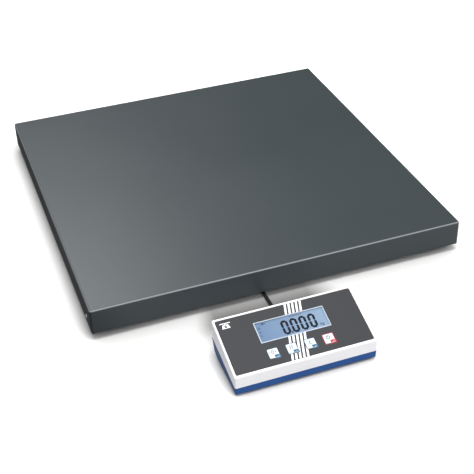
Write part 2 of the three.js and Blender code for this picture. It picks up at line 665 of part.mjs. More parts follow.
function backlight() {
  const peg = { u: 49, v: 16, radius: 2, z: [BOARD_TOP + FIT, LEVEL.backlight[0] + 1] };
  let body = displayLayer(DISPLAY_FLANGE, LEVEL.backlight);
  for (const u of [DISPLAY.x - peg.u, DISPLAY.x + peg.u]) {
    for (const v of [DISPLAY.v - peg.v, DISPLAY.v + peg.v]) {
      body = body.add(rod(u, v, peg.z, peg.radius, 12));
    }
  }
  return body;
}

// A key cap with a flange under the roof and a plunger over its switch.
function keyCap(index) {
  const x = keyX(index);
  const cap = block(about(x, KEY.size), about(KEY.v, KEY.size), [LEVEL.keyFlange[0], KEY.proud]);
  const wide = KEY.size + 3;
  const flange = block(about(x, wide), about(KEY.v, wide), LEVEL.keyFlange);
  const plunger = [LEVEL.switchTop + KEY_TRAVEL + 0.1, LEVEL.keyFlange[0] + 0.5];
  return cap.add(flange).add(rod(x, KEY.v, plunger, 2, 12));
}

function mainBoard() {
  const sheet = [BOARD_TOP - BOARD_THICKNESS, BOARD_TOP];
  let board = block([-BOARD_HALF, BOARD_HALF], BOARD_V, sheet);
  const onBoard = BOARD_TOP - 0.5;
  KEY_NAMES.forEach((name, index) => {
    const switchU = about(keyX(index), SWITCH.size);
    board = board.add(block(switchU, about(KEY.v, SWITCH.size), [onBoard, LEVEL.switchTop]));
  });
  // The processor, a driver chip and the plug of the cable.
  board = board.add(block(about(-25, 14), about(56, 14), [onBoard, BOARD_TOP + 1.6]));
  board = board.add(block(about(18, 10), about(60, 7), [onBoard, BOARD_TOP + 1.8]));
  const plugZ = [BOARD_TOP - BOARD_THICKNESS - 6, BOARD_TOP - 1];
  return board.add(block(about(30, 16), about(74, 6), plugZ));
}

// ------------------------------------------------------------------ console: power and cable ports
// Six round cells side by side in one shrink sleeve.
function batteryPack() {
  const frontEnd = BAY.front + 2;
  const length = [frontEnd, frontEnd + BATTERY_LENGTH];
  const middle = COVER_TOP + 1.3 + BATTERY_RADIUS; // clear of the cover
  const first = (BAY.x[0] + BAY.x[1]) / 2 - (CELLS_IN_PACK - 1) * BATTERY_RADIUS;
  const last = first + (CELLS_IN_PACK - 1) * 2 * BATTERY_RADIUS;
  let pack = block([first, last], length, [middle - 5.5, middle + 5.5]);
  for (let i = 0; i < CELLS_IN_PACK; i += 1) {
    pack = pack.add(rodAlongY(first + i * 2 * BATTERY_RADIUS, middle, length, BATTERY_RADIUS));
  }
  return pack;
}

function cableGrommet() {
  const { depth } = CONSOLE;
  const plug = [depth - GROMMET.length, depth + 1];
  let ring = rodAlongY(LEAD_ENTRY_X, REAR_PORT_Z, plug, GROMMET.radius);
  ring = ring.add(rodAlongY(LEAD_ENTRY_X, REAR_PORT_Z, [depth, depth + 2], GROMMET.flange));
  const bore = [plug[0] - 1, depth + 3];
  return ring.subtract(rodAlongY(LEAD_ENTRY_X, REAR_PORT_Z, bore, LEAD_RADIUS + 0.3, 12));
}

function powerSocket() {
  const { depth } = CONSOLE;
  const inside = depth - WALL - FIT;
  const bodyY = [inside - SOCKET.body, inside];
  const bottom = depth - SOCKET.depth;
  let socket = block(about(SOCKET_X, SOCKET.body), bodyY, about(REAR_PORT_Z, SOCKET.body));
  const barrelY = [inside - 1, depth + FIT];
  socket = socket.add(rodAlongY(SOCKET_X, REAR_PORT_Z, barrelY, SOCKET.barrel));
  socket = socket.subtract(rodAlongY(SOCKET_X, REAR_PORT_Z, [bottom, depth + 1], SOCKET.hole));
  return socket.add(rodAlongY(SOCKET_X, REAR_PORT_Z, [bottom - 1, depth - 1], SOCKET.pin, 8));
}

// -------------------------------------------------------------------------------------- assembly
const scale = new THREE.Group();
const platform = new THREE.Group();
platform.position.z = -SURFACE;
scale.add(platform);

piece(platform, 'load_plate', loadPlate(), powderCoat);
piece(platform, 'stiffener_left', channel(-CHANNEL_X, CHANNEL_LENGTH, true), channelSteel);
piece(platform, 'stiffener_right', channel(CHANNEL_X, CHANNEL_LENGTH, true), channelSteel);
const crossLength = 2 * CHANNEL_X - CHANNEL_WIDTH;
piece(platform, 'cross_member', channel(0, crossLength, false), channelSteel);

for (const [corner, sx, sy] of CORNERS) {
  piece(platform, `load_cell_${corner}`, loadCell(sx, sy), alloy);
  const y = sy * FOOT_AXIS;
  piece(platform, `cell_bolt_inner_${corner}`, cellBolt(sx * BOLTS_X[0], y), zincSteel);
  piece(platform, `cell_bolt_outer_${corner}`, cellBolt(sx * BOLTS_X[1], y), zincSteel);
  piece(platform, `lock_nut_${corner}`, lockNut(sx * FOOT_AXIS, y), zincSteel);
  piece(platform, `cell_cable_${corner}`, cellCable(sx, sy), cableJacket);
  const foot = new THREE.Group();
  foot.position.set(sx * FOOT_AXIS, y, 0);
  platform.add(foot);
  piece(foot, `foot_stud_${corner}`, footStud(), zincSteel);
  piece(foot, `foot_pad_${corner}`, footPad(), blackRubber);
}

piece(platform, 'junction_box', junctionBox(), greyPlastic);
piece(platform, 'junction_box_lid', junctionLid(), greyPlastic);
piece(platform, 'summing_board', summingBoard(), boardGreen);
piece(platform, 'cable_gland', cableGland(), blackPlastic);
piece(platform, 'console_cable', consoleCable(), cableJacket);

const desk = new THREE.Group();
desk.position.set(CONSOLE.x, CONSOLE.frontY, -SURFACE);
scale.add(desk);
piece(desk, 'console_top_shell', topShell(), whitePlastic);
piece(desk, 'console_base_shell', baseShell(), bluePlastic);
piece(desk, 'battery_cover', batteryCover(), bluePlastic);
piece(desk, 'battery_pack', batteryPack(), batteryWrap);
piece(desk, 'cable_grommet', cableGrommet(), blackRubber);
piece(desk, 'power_socket', powerSocket(), blackPlastic);
CONSOLE_SCREWS.forEach(([x, y], index) => {
  piece(desk, `console_screw_${SCREW_NAMES[index]}`, consoleScrew(x, y), zincSteel);
});
for (const [corner, sx, sy] of CORNERS) {
  const y = CONSOLE_FEET.y[sy < 0 ? 0 : 1];
  const foot = rod(sx * CONSOLE_FEET.x, y, [0, BASE_BOTTOM], CONSOLE_FEET.radius, 20);
  piece(desk, `console_foot_${corner}`, foot, blackRubber);
}

const panel = new THREE.Group();
panel.position.z = TOP_FRONT;
panel.rotation.x = PANEL_ANGLE;
desk.add(panel);
piece(panel, 'keypad_overlay', keypadOverlay(), overlayFilm);
piece(panel, 'display_window', displayLayer(-FIT, LEVEL.window), clearPane);
piece(panel, 'lcd_panel', lcdPanel(), displayGlass);
piece(panel, 'backlight', backlight(), lightGuide);
piece(panel, 'main_board', mainBoard(), boardGreen);
KEY_NAMES.forEach((name, index) => piece(panel, name, keyCap(index), keyFilm));

export default scale;
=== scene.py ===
"""Looks of a platform shipping scale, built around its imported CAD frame.

Metres, +Z up. The load surface lies at z = 0, the floor below it, and the display console
stands in front of the platform, towards -Y. Small sizes are written in millimetres and
multiplied by MM.
"""
import json
import math

import bmesh
import bpy
from mathutils import Matrix, Vector


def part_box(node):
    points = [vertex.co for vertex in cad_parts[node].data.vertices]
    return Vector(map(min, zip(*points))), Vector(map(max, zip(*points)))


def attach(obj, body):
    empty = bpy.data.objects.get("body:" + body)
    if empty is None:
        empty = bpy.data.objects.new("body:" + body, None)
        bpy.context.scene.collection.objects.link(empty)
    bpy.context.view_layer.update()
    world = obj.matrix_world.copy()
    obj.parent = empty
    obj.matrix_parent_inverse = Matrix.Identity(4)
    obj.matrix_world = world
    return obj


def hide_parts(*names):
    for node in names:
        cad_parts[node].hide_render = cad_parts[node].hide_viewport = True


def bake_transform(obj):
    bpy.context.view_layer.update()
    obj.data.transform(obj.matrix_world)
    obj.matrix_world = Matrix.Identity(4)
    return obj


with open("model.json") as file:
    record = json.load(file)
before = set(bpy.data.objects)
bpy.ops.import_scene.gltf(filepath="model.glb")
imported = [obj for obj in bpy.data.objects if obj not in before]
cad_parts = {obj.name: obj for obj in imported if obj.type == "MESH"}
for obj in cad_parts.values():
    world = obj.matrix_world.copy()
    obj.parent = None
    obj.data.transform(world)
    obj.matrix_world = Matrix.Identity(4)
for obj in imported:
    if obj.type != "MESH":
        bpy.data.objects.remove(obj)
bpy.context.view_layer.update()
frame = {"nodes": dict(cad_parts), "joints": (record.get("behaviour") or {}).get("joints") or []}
MM = 0.001
SCENE = bpy.context.scene

# ------------------------------------------------------------------ places taken from the frame
PLATE_LOW, PLATE_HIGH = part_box("load_plate")
SHELL_LOW, SHELL_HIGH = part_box("console_top_shell")
BASE_LOW, BASE_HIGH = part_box("console_base_shell")
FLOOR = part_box("foot_pad_front_left")[0].z
SIDES = {"left": -1, "right": 1, "front": -1, "rear": 1}
CORNERS = ("front_left", "front_right", "rear_left", "rear_right")

# The console's own frame: x from its centre line, y from its front face, z from the floor.
CONSOLE_X = (SHELL_LOW.x + SHELL_HIGH.x) / 2
CONSOLE_WIDTH = SHELL_HIGH.x - SHELL_LOW.x
CONSOLE_DEPTH = SHELL_HIGH.y - SHELL_LOW.y
CONSOLE_MATRIX = Matrix.Translation((CONSOLE_X, SHELL_LOW.y, FLOOR))
KEY_AXIS = next(j["axis"] for j in frame["joints"] if j["name"] == "key_zero_press")
PANEL_ANGLE = math.atan2(-KEY_AXIS[1], KEY_AXIS[2])
SLOPE = math.tan(PANEL_ANGLE)
TOP_BACK = SHELL_HIGH.z - FLOOR
TOP_FRONT = TOP_BACK - CONSOLE_DEPTH * SLOPE
PARTING_GAP = 0.4 * MM
SPLIT_FRONT = SHELL_LOW.z - FLOOR - PARTING_GAP
SPLIT_BACK = BASE_HIGH.z - FLOOR
BASE_BOTTOM = BASE_LOW.z - FLOOR
WALL = 2.5 * MM
CONSOLE_CORNER = 2.5 * MM
BASE_DRAFT = 0.09
REAR_ROUND = 14 * MM

# The panel's frame: u across from the centre line, v up the slope, w out of the surface.
PANEL_LENGTH = CONSOLE_DEPTH / math.cos(PANEL_ANGLE)
PANEL_MATRIX = (
    CONSOLE_MATRIX
    @ Matrix.Translation((0, 0, TOP_FRONT))
    @ Matrix.Rotation(PANEL_ANGLE, 4, "X")
)
RECESS = 1.0 * MM
OVERLAY_WIDTH = 204.8 * MM
OVERLAY_LENGTH = 90.4 * MM
OVERLAY_TOP = -0.2 * MM
PRINT = 0.06 * MM  # thickness of a printed shape
DISPLAY_U = 1.0 * MM
DISPLAY_V = 59.6 * MM
DISPLAY_WIDTH = 105.7 * MM
DISPLAY_LENGTH = 35.2 * MM
GLASS_TOP = -2.2 * MM
PANE_TOP = -0.4 * MM
KEY_SIZE = 14.7 * MM
KEY_V = 22.5 * MM
KEY_OPENING = KEY_SIZE + 0.6 * MM
KEYS = ("key_zero", "key_hold", "key_tare", "key_power")


def centre_of(node):
    """The middle of a CAD node's box."""
    low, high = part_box(node)
    return (low + high) / 2


KEY_U = {key: centre_of(key).x - CONSOLE_X for key in KEYS}


# ------------------------------------------------------------------------------ mesh helpers
def rounded_rect(half_x, half_y, radius, steps=6):
    """Points of a rounded rectangle about the origin, anticlockwise."""
    points = []
    for corner, (sx, sy) in enumerate(((1, 1), (-1, 1), (-1, -1), (1, -1))):
        for step in range(steps + 1):
            angle = math.radians(90 * (corner + step / steps))
            x = sx * (half_x - radius) + radius * math.cos(angle)
            y = sy * (half_y - radius) + radius * math.sin(angle)
            points.append((x, y))
    return points


def circle(radius, sides=32, turn=0.0):
    """Points of a circle or, with few sides, of a polygon."""
    angles = [turn + 2 * math.pi * i / sides for i in range(sides)]
    return [(radius * math.cos(a), radius * math.sin(a)) for a in angles]


def skin(bm, loops, ends=True):
    """Joins loops of equal length with faces, and fills the first and the last."""
    rings = [[bm.verts.new(point) for point in loop] for loop in loops]
    for lower, upper in zip(rings, rings[1:]):
        for i in range(len(lower)):
            j = (i + 1) % len(lower)
            bm.faces.new((lower[i], lower[j], upper[j], upper[i]))
    if ends:
        bm.faces.new(list(reversed(rings[0])))
        bm.faces.new(rings[-1])


def slab(bm, outline, low, high, chamfer=0.0):
    """A flat plate with the given outline from low to high, its top edge chamfered."""
    centre = Vector((sum(p[0] for p in outline), sum(p[1] for p in outline))) / len(outline)
    loops = [[(x, y, low) for x, y in outline]]
    if chamfer:
        loops.append([(x, y, high - chamfer) for x, y in outline])
        loops.append([(*drawn_in(Vector(p), centre, chamfer), high) for p in outline])
    else:
        loops.append([(x, y, high) for x, y in outline])
    skin(bm, loops)


def drawn_in(point, centre, amount):
    """A point moved towards the centre by an amount along each axis."""
    away = point - centre
    return tuple(
        value - math.copysign(min(amount, abs(offset)), offset)
        for value, offset in zip(point, away)
    )


def block(bm, low, high, bevel=0.0):
    """A box between two corners, with its edges rounded."""
    half = [(b - a) / 2 for a, b in zip(low, high)]
    middle = [(b + a) / 2 for a, b in zip(low, high)]
    new = bmesh.ops.create_cube(bm, size=2.0)["verts"]
    for vertex in new:
        vertex.co = Vector([m + h * c for m, h, c in zip(middle, half, vertex.co)])
    if bevel:
        edges = list({edge for vertex in new for edge in vertex.link_edges})
        bmesh.ops.bevel(bm, geom=edges, offset=bevel, segments=3, profile=0.5, affect="EDGES")


def turned(bm, profile, sides=40, centre=(0, 0, 0)):
    """A solid of revolution about Z from (radius, height) points, bottom to top."""
    cx, cy, cz = centre
    loops = [[(cx + x, cy + y, cz + z) for x, y in circle(r, sides)] for r, z in profile]
    skin(bm, loops)


def arc_profile(radius, z, bend, up=True, steps=5):
    """(radius, height) points of a rounded edge at the top or the bottom of a turned piece."""
    points = []
    for step in range(steps + 1):
        angle = math.radians(90 * step / steps)
        inward = bend * (1 - math.cos(angle))
        rise = bend * math.sin(angle)
        if up:
            points.append((radius - inward, z - bend + rise))
        else:
            points.append((radius - inward, z + bend - rise))
    return points if up else list(reversed(points))


def hexagon(bm, across, low, high, centre=(0, 0)):
    """A hexagonal nut or head with chamfered corners."""
    corner = across / math.sqrt(3)
    trim = (corner - across / 2) * 0.9
    loops = []
    for z, shrink in ((low, trim), (low + trim * 0.6, 0), (high - trim * 0.6, 0), (high, trim)):
        ring = []
        for i in range(36):
            angle = 2 * math.pi * i / 36
            to_flat = (angle % (math.pi / 3)) - math.pi / 6
            flat = across / 2 / math.cos(to_flat)
            radius = min(flat, corner - shrink)
            ring.append((centre[0] + radius * math.cos(angle), centre[1] + radius * math.sin(angle), z))
        loops.append(ring)
    skin(bm, loops)


def tube(bm, points, radius, sides=16):
    """A tube along points; radius is a number or a function of the share along the path."""
    loops = []
    normal = Vector((0.1, 0.2, 1)).normalized()
    last = len(points) - 1
    for i, point in enumerate(points):
        along = (points[min(i + 1, last)] - points[max(i - 1, 0)]).normalized()
        normal = (normal - along * normal.dot(along)).normalized()
        across = along.cross(normal)
        size = radius(i / last) if callable(radius) else radius
        loops.append([point + normal * x + across * y for x, y in circle(size, sides)])
    skin(bm, loops)


def bent_path(way_points, bend, steps=8):
    """Points along straight runs between way-points, with each corner rounded off."""
    way = [Vector(p) for p in way_points]
    points = [way[0]]
    for before, corner, after in zip(way, way[1:], way[2:]):
        back = min(bend, (before - corner).length / 2)
        ahead = min(bend, (after - corner).length / 2)
        start = corner + (before - corner).normalized() * back
        end = corner + (after - corner).normalized() * ahead
        for step in range(steps + 1):
            t = step / steps
            points.append(start * (1 - t) ** 2 + corner * 2 * t * (1 - t) + end * t * t)
    points.append(way[-1])
    spaced = [points[0]]
    for point in points[1:]:
        gap = (point - spaced[-1]).length
        parts = max(1, round(gap / (4 * MM)))
        if gap > 0.2 * MM:
            start = spaced[-1]
            spaced += [start.lerp(point, (k + 1) / parts) for k in range(parts)]
    return spaced


def shade(mesh, angle=35):
    """Smooth shading, except across edges sharper than the angle in degrees."""
    bm = bmesh.new()
    bm.from_mesh(mesh)
    bmesh.ops.recalc_face_normals(bm, faces=bm.faces)
    for face in bm.faces:
        face.smooth = True
    for edge in bm.edges:
        edge.smooth = len(edge.link_faces) == 2 and edge.calc_face_angle() < math.radians(angle)
    bm.to_mesh(mesh)
    bm.free()


def thing(name, bm, material, matrix=None):
    """An object from a bmesh, in the row frame."""
    mesh = bpy.data.meshes.new(name)
    bm.to_mesh(mesh)
    bm.free()
    if matrix is not None:
        mesh.transform(matrix)
    shade(mesh)
    piece = bpy.data.objects.new(name, mesh)
    SCENE.collection.objects.link(piece)
    if material is not None:
        mesh.materials.append(material)
    return piece


def even_normals(piece):
    """Lets large flat faces decide the shading of the small ones beside them."""
    modifier = piece.modifiers.new("normals", "WEIGHTED_NORMAL")
    modifier.keep_sharp = True


def bake(piece):
    """Makes the modifiers' result the piece's own mesh."""
    graph = bpy.context.evaluated_depsgraph_get()
    mesh = bpy.data.meshes.new_from_object(piece.evaluated_get(graph))
    piece.modifiers.clear()
    piece.data = mesh


def combine(piece, bm, operation="DIFFERENCE", matrix=None):
    """Cuts a closed shape from a piece, or joins it on."""
    tool = thing("tool", bm, None, matrix)
    modifier = piece.modifiers.new("combine", "BOOLEAN")
    modifier.operation = operation
    modifier.solver = "EXACT"
    modifier.object = tool
    bake(piece)
    bpy.data.objects.remove(tool)
    shade(piece.data)


def place(piece, body, slot, *nodes):
    """The piece rides on a body and may stand for CAD nodes; its finish slot is not used."""
    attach(piece, body)
    if nodes:
        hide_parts(*nodes)
    return piece


# ------------------------------------------------------------------------------ node helpers
class Look:
    """A node material under construction, with textures in object space (metres)."""

    def __init__(self, name, colour, roughness, metallic=0.0):
        self.material = bpy.data.materials.new(name)
        self.material.use_nodes = True
        self.tree = self.material.node_tree
        self.bsdf = self.tree.nodes["Principled BSDF"]
        self.where = self.tree.nodes.new("ShaderNodeTexCoord").outputs["Object"]
        self.colour = self.constant(colour)
        self.rough = self.number(roughness)
        self.height = None
        self.bsdf.inputs["Metallic"].default_value = metallic

    def constant(self, colour):
        node = self.tree.nodes.new("ShaderNodeRGB")
        node.outputs[0].default_value = (*colour, 1)
        return node.outputs[0]

    def number(self, value):
        node = self.tree.nodes.new("ShaderNodeValue")
        node.outputs[0].default_value = value
        return node.outputs[0]

    def stretched(self, scale):
        """Texture space stretched by a different amount along each axis."""
        node = self.tree.nodes.new("ShaderNodeMapping")
        node.inputs["Scale"].default_value = scale
        self.tree.links.new(self.where, node.inputs["Vector"])
        return node.outputs[0]

    def noise(self, scale, detail=3.0, where=None, roughness=0.5):
        node = self.tree.nodes.new("ShaderNodeTexNoise")
        node.inputs["Scale"].default_value = scale
        node.inputs["Detail"].default_value = detail
        node.inputs["Roughness"].default_value = roughness
        self.tree.links.new(where or self.where, node.inputs["Vector"])
        return node.outputs["Fac"]

    def cells(self, scale, feature="F1", where=None):
        node = self.tree.nodes.new("ShaderNodeTexVoronoi")
        node.feature = feature
        node.inputs["Scale"].default_value = scale
        self.tree.links.new(where or self.where, node.inputs["Vector"])
        return node.outputs["Distance"]

    def remap(self, value, low, high, to_low=0.0, to_high=1.0):
        node = self.tree.nodes.new("ShaderNodeMapRange")
        node.inputs["From Min"].default_value = low
        node.inputs["From Max"].default_value = high
        node.inputs["To Min"].default_value = to_low
        node.inputs["To Max"].default_value = to_high
        self.tree.links.new(value, node.inputs["Value"])
        return node.outputs["Result"]

    def maths(self, operation, a, b):
        node = self.tree.nodes.new("ShaderNodeMath")
        node.operation = operation
        for socket, value in zip(node.inputs, (a, b)):
            if isinstance(value, (int, float)):
                socket.default_value = value
            else:
                self.tree.links.new(value, socket)
        return node.outputs[0]

    def tint(self, share, colour):
        """Mixes the colour so far with another one."""
        node = self.tree.nodes.new("ShaderNodeMix")
        node.data_type = "RGBA"
        self.tree.links.new(share, node.inputs["Factor"])
        self.tree.links.new(self.colour, node.inputs["A"])
        node.inputs["B"].default_value = (*colour, 1)
        self.colour = node.outputs["Result"]
        return self

    def add_rough(self, value):
        self.rough = self.maths("ADD", self.rough, value)
        return self

    def bump(self, height, distance):
        node = self.tree.nodes.new("ShaderNodeBump")
        node.inputs["Distance"].default_value = distance
        node.inputs["Strength"].default_value = 1.0
        self.tree.links.new(height, node.inputs["Height"])
        if self.height is not None:
            self.tree.links.new(self.height, node.inputs["Normal"])
        self.height = node.outputs["Normal"]
        return self

    def done(self):
        self.tree.links.new(self.colour, self.bsdf.inputs["Base Color"])
        self.tree.links.new(self.rough, self.bsdf.inputs["Roughness"])
        if self.height is not None:
            self.tree.links.new(self.height, self.bsdf.inputs["Normal"])
        return self.material


# ---------------------------------------------------------------------------------- materials
def powder_coat(name, colour, edge_highlight=None):
    """Fine-textured powder coat over steel: a faint orange peel and a fine grain.

    With a colour for the edges, a painted highlight makes the coat lighter where it bends over an upper
    edge.
    """
    look = Look(name, colour, 0.36)
    grain = look.noise(1500, 2)
    peel = look.noise(330, 2)
    cloud = look.noise(3.5, 4)
    look.tint(look.remap(cloud, 0.35, 0.7, 0, 0.35), [c * 1.15 + 0.002 for c in colour])
    look.tint(look.remap(grain, 0.62, 0.72, 0, 0.25), [c * 1.7 + 0.01 for c in colour])
    look.add_rough(look.remap(cloud, 0.3, 0.7, -0.02, 0.04))
    look.add_rough(look.remap(peel, 0.3, 0.7, -0.03, 0.03))
    # Painted highlight: a lighter band on the bends of upper edges, where light catches them.
    if edge_highlight:
        facing = look.tree.nodes.new("ShaderNodeNewGeometry").outputs["Normal"]
        split = look.tree.nodes.new("ShaderNodeSeparateXYZ")
        look.tree.links.new(facing, split.inputs[0])
        above = look.remap(split.outputs["Z"], 0.25, 0.45)
        below = look.remap(split.outputs["Z"], 0.92, 0.80)
        look.tint(look.maths("MULTIPLY", above, below), edge_highlight)
    look.bump(peel, 0.00008).bump(grain, 0.00004)
    look.bsdf.inputs["Specular IOR Level"].default_value = 0.4
    return look.done()


def zinc(name, colour=(0.62, 0.63, 0.64), metallic=1.0):
    """Bright zinc plate with a faint passivation tint and fine scratches."""
    look = Look(name, colour, 0.26, metallic)
    drift = look.noise(90, 3)
    look.tint(look.remap(drift, 0.45, 0.7, 0, 0.5), (0.60, 0.58, 0.48))
    look.tint(look.remap(drift, 0.5, 0.3, 0, 0.4), (0.50, 0.56, 0.66))
    scratch = look.noise(1.0, 3, look.stretched((300, 2600, 900)))
    look.add_rough(look.remap(scratch, 0.4, 0.7, -0.05, 0.12))
    look.bump(scratch, 0.00003)
    return look.done()


def milled(name):
    """Milled aluminium with cutter lines across it and a clear anodised skin."""
    look = Look(name, (0.60, 0.61, 0.62), 0.30, 1.0)
    lines = look.noise(1.0, 2, look.stretched((2400, 60, 500)))
    cloud = look.noise(40, 3)
    look.tint(look.remap(cloud, 0.4, 0.75, 0, 0.35), (0.50, 0.51, 0.53))
    look.add_rough(look.remap(lines, 0.3, 0.7, -0.05, 0.10))
    look.bump(lines, 0.00004)
    return look.done()


def rubber(name, colour, grain=900):
    """Moulded rubber: fine grain, a little dust in patches."""
    look = Look(name, colour, 0.62)
    fine = look.noise(grain, 3)
    dust = look.noise(120, 4)
    look.tint(look.remap(dust, 0.52, 0.75, 0, 0.35), [c * 1.6 + 0.006 for c in colour])
    look.add_rough(look.remap(dust, 0.3, 0.7, -0.05, 0.12))
    look.bump(fine, 0.00006)
    return look.done()


def moulded(name, colour, roughness=0.38, soft=0.0, gloss=0.5):
    """Spark-eroded ABS: a fine even grain, with a slight flow variation."""
    look = Look(name, colour, roughness)
    grain = look.noise(2200, 2)
    pits = look.cells(1300)
    flow = look.noise(14, 3)
    look.tint(look.remap(flow, 0.4, 0.7, 0, 0.3), [c * 0.93 for c in colour])
    look.add_rough(look.remap(grain, 0.3, 0.7, -0.04, 0.05))
    look.bump(pits, 0.00002).bump(grain, 0.00003)
    look.bsdf.inputs["Specular IOR Level"].default_value = gloss
    look.bsdf.inputs["Subsurface Weight"].default_value = soft
    look.bsdf.inputs["Subsurface Scale"].default_value = 0.6 * MM
    return look.done()


def printed(name, colour, roughness=0.4, gloss=0.5):
    """Screen-printed ink on polyester, with a slight mottle."""
    look = Look(name, colour, roughness)
    mottle = look.noise(700, 3)
    look.tint(look.remap(mottle, 0.45, 0.7, 0, 0.25), [c * 0.9 for c in colour])
    look.add_rough(look.remap(mottle, 0.3, 0.7, -0.03, 0.05))
    look.bump(look.noise(2600, 2), 0.000015)
    look.bsdf.inputs["Specular IOR Level"].default_value = gloss
    return look.done()


def display_light(name):
    """The lit liquid crystal: blue at the left, paler to the right, with a fine cell grid."""
    look = Look(name, (0.094, 0.148, 0.240), 0.3)
    split = look.tree.nodes.new("ShaderNodeSeparateXYZ")
    look.tree.links.new(look.where, split.inputs[0])
    left = CONSOLE_X + DISPLAY_U - DISPLAY_WIDTH / 2
    across = look.remap(split.outputs["X"], left, left + DISPLAY_WIDTH)
    drift = look.noise(26, 2)
    across = look.maths("ADD", across, look.remap(drift, 0.3, 0.7, -0.12, 0.12))
    look.tint(across, (0.185, 0.252, 0.332))
    grid = look.cells(4200)
    look.tint(look.remap(grid, 0.3, 0.6, 0, 0.06), (0.03, 0.06, 0.12))
    look.tree.links.new(look.colour, look.bsdf.inputs["Emission Color"])
    look.bsdf.inputs["Emission Strength"].default_value = 0.42
    look.bump(look.noise(1800, 2), 0.00001)
    return look.done()


def clear_pane(name):
    """Clear acrylic: seen straight through, with a thin reflection on top."""
    look = Look(name, (1, 1, 1), 0.08)
    tree = look.tree
    through = tree.nodes.new("ShaderNodeBsdfTransparent")
    through.inputs["Color"].default_value = (0.97, 0.985, 1.0, 1)
    gloss = tree.nodes.new("ShaderNodeBsdfGlossy")
    smear = look.remap(look.noise(60, 4), 0.3, 0.8, 0.03, 0.14)
    tree.links.new(smear, gloss.inputs["Roughness"])
    edge = tree.nodes.new("ShaderNodeFresnel")
    edge.inputs["IOR"].default_value = 1.38
    # Only the outer faces reflect: the pane's inside would act as a mirror at low angles.
    inside = tree.nodes.new("ShaderNodeNewGeometry").outputs["Backfacing"]
    outside = look.maths("SUBTRACT", 1.0, inside)
    mix = tree.nodes.new("ShaderNodeMixShader")
    tree.links.new(look.maths("MULTIPLY", edge.outputs[0], outside), mix.inputs["Fac"])
    tree.links.new(through.outputs[0], mix.inputs[1])
    tree.links.new(gloss.outputs[0], mix.inputs[2])
    tree.links.new(mix.outputs[0], tree.nodes["Material Output"].inputs["Surface"])
    return look.material


def circuit_board(name):
    """Green solder mask with copper tracks showing through and tinned pads."""
    look = Look(name, (0.012, 0.085, 0.03), 0.35)
    brick = look.tree.nodes.new("ShaderNodeTexBrick")
    brick.inputs["Scale"].default_value = 260
    brick.inputs["Mortar Size"].default_value = 0.09
    look.tree.links.new(look.where, brick.inputs["Vector"])
    look.tint(brick.outputs["Fac"], (0.03, 0.17, 0.06))
    pads = look.remap(look.cells(300), 0.16, 0.12)
    look.tint(pads, (0.55, 0.52, 0.42))
    look.bump(brick.outputs["Fac"], 0.00004)
    return look.done()


def shrink_sleeve(name):
    """Heat-shrunk PVC: glossy, with fine creases round the cells' ends."""
    look = Look(name, (0.02, 0.07, 0.2), 0.22)
    creases = look.noise(1.0, 4, look.stretched((300, 60, 300)))
    look.tint(look.remap(creases, 0.5, 0.7, 0, 0.4), (0.04, 0.12, 0.3))
    look.add_rough(look.remap(creases, 0.3, 0.7, -0.05, 0.1))
    look.bump(creases, 0.0002)
    return look.done()


def potting(name):
    """Soft white sealant over the strain gauges, spread by hand."""
    look = Look(name, (0.72, 0.72, 0.70), 0.45)
    ripple = look.noise(220, 4)
    look.tint(look.remap(ripple, 0.45, 0.7, 0, 0.4), (0.60, 0.60, 0.57))
    look.bump(ripple, 0.0006)
    look.bsdf.inputs["Subsurface Weight"].default_value = 0.2
    look.bsdf.inputs["Subsurface Scale"].default_value = 1 * MM
    return look.done()


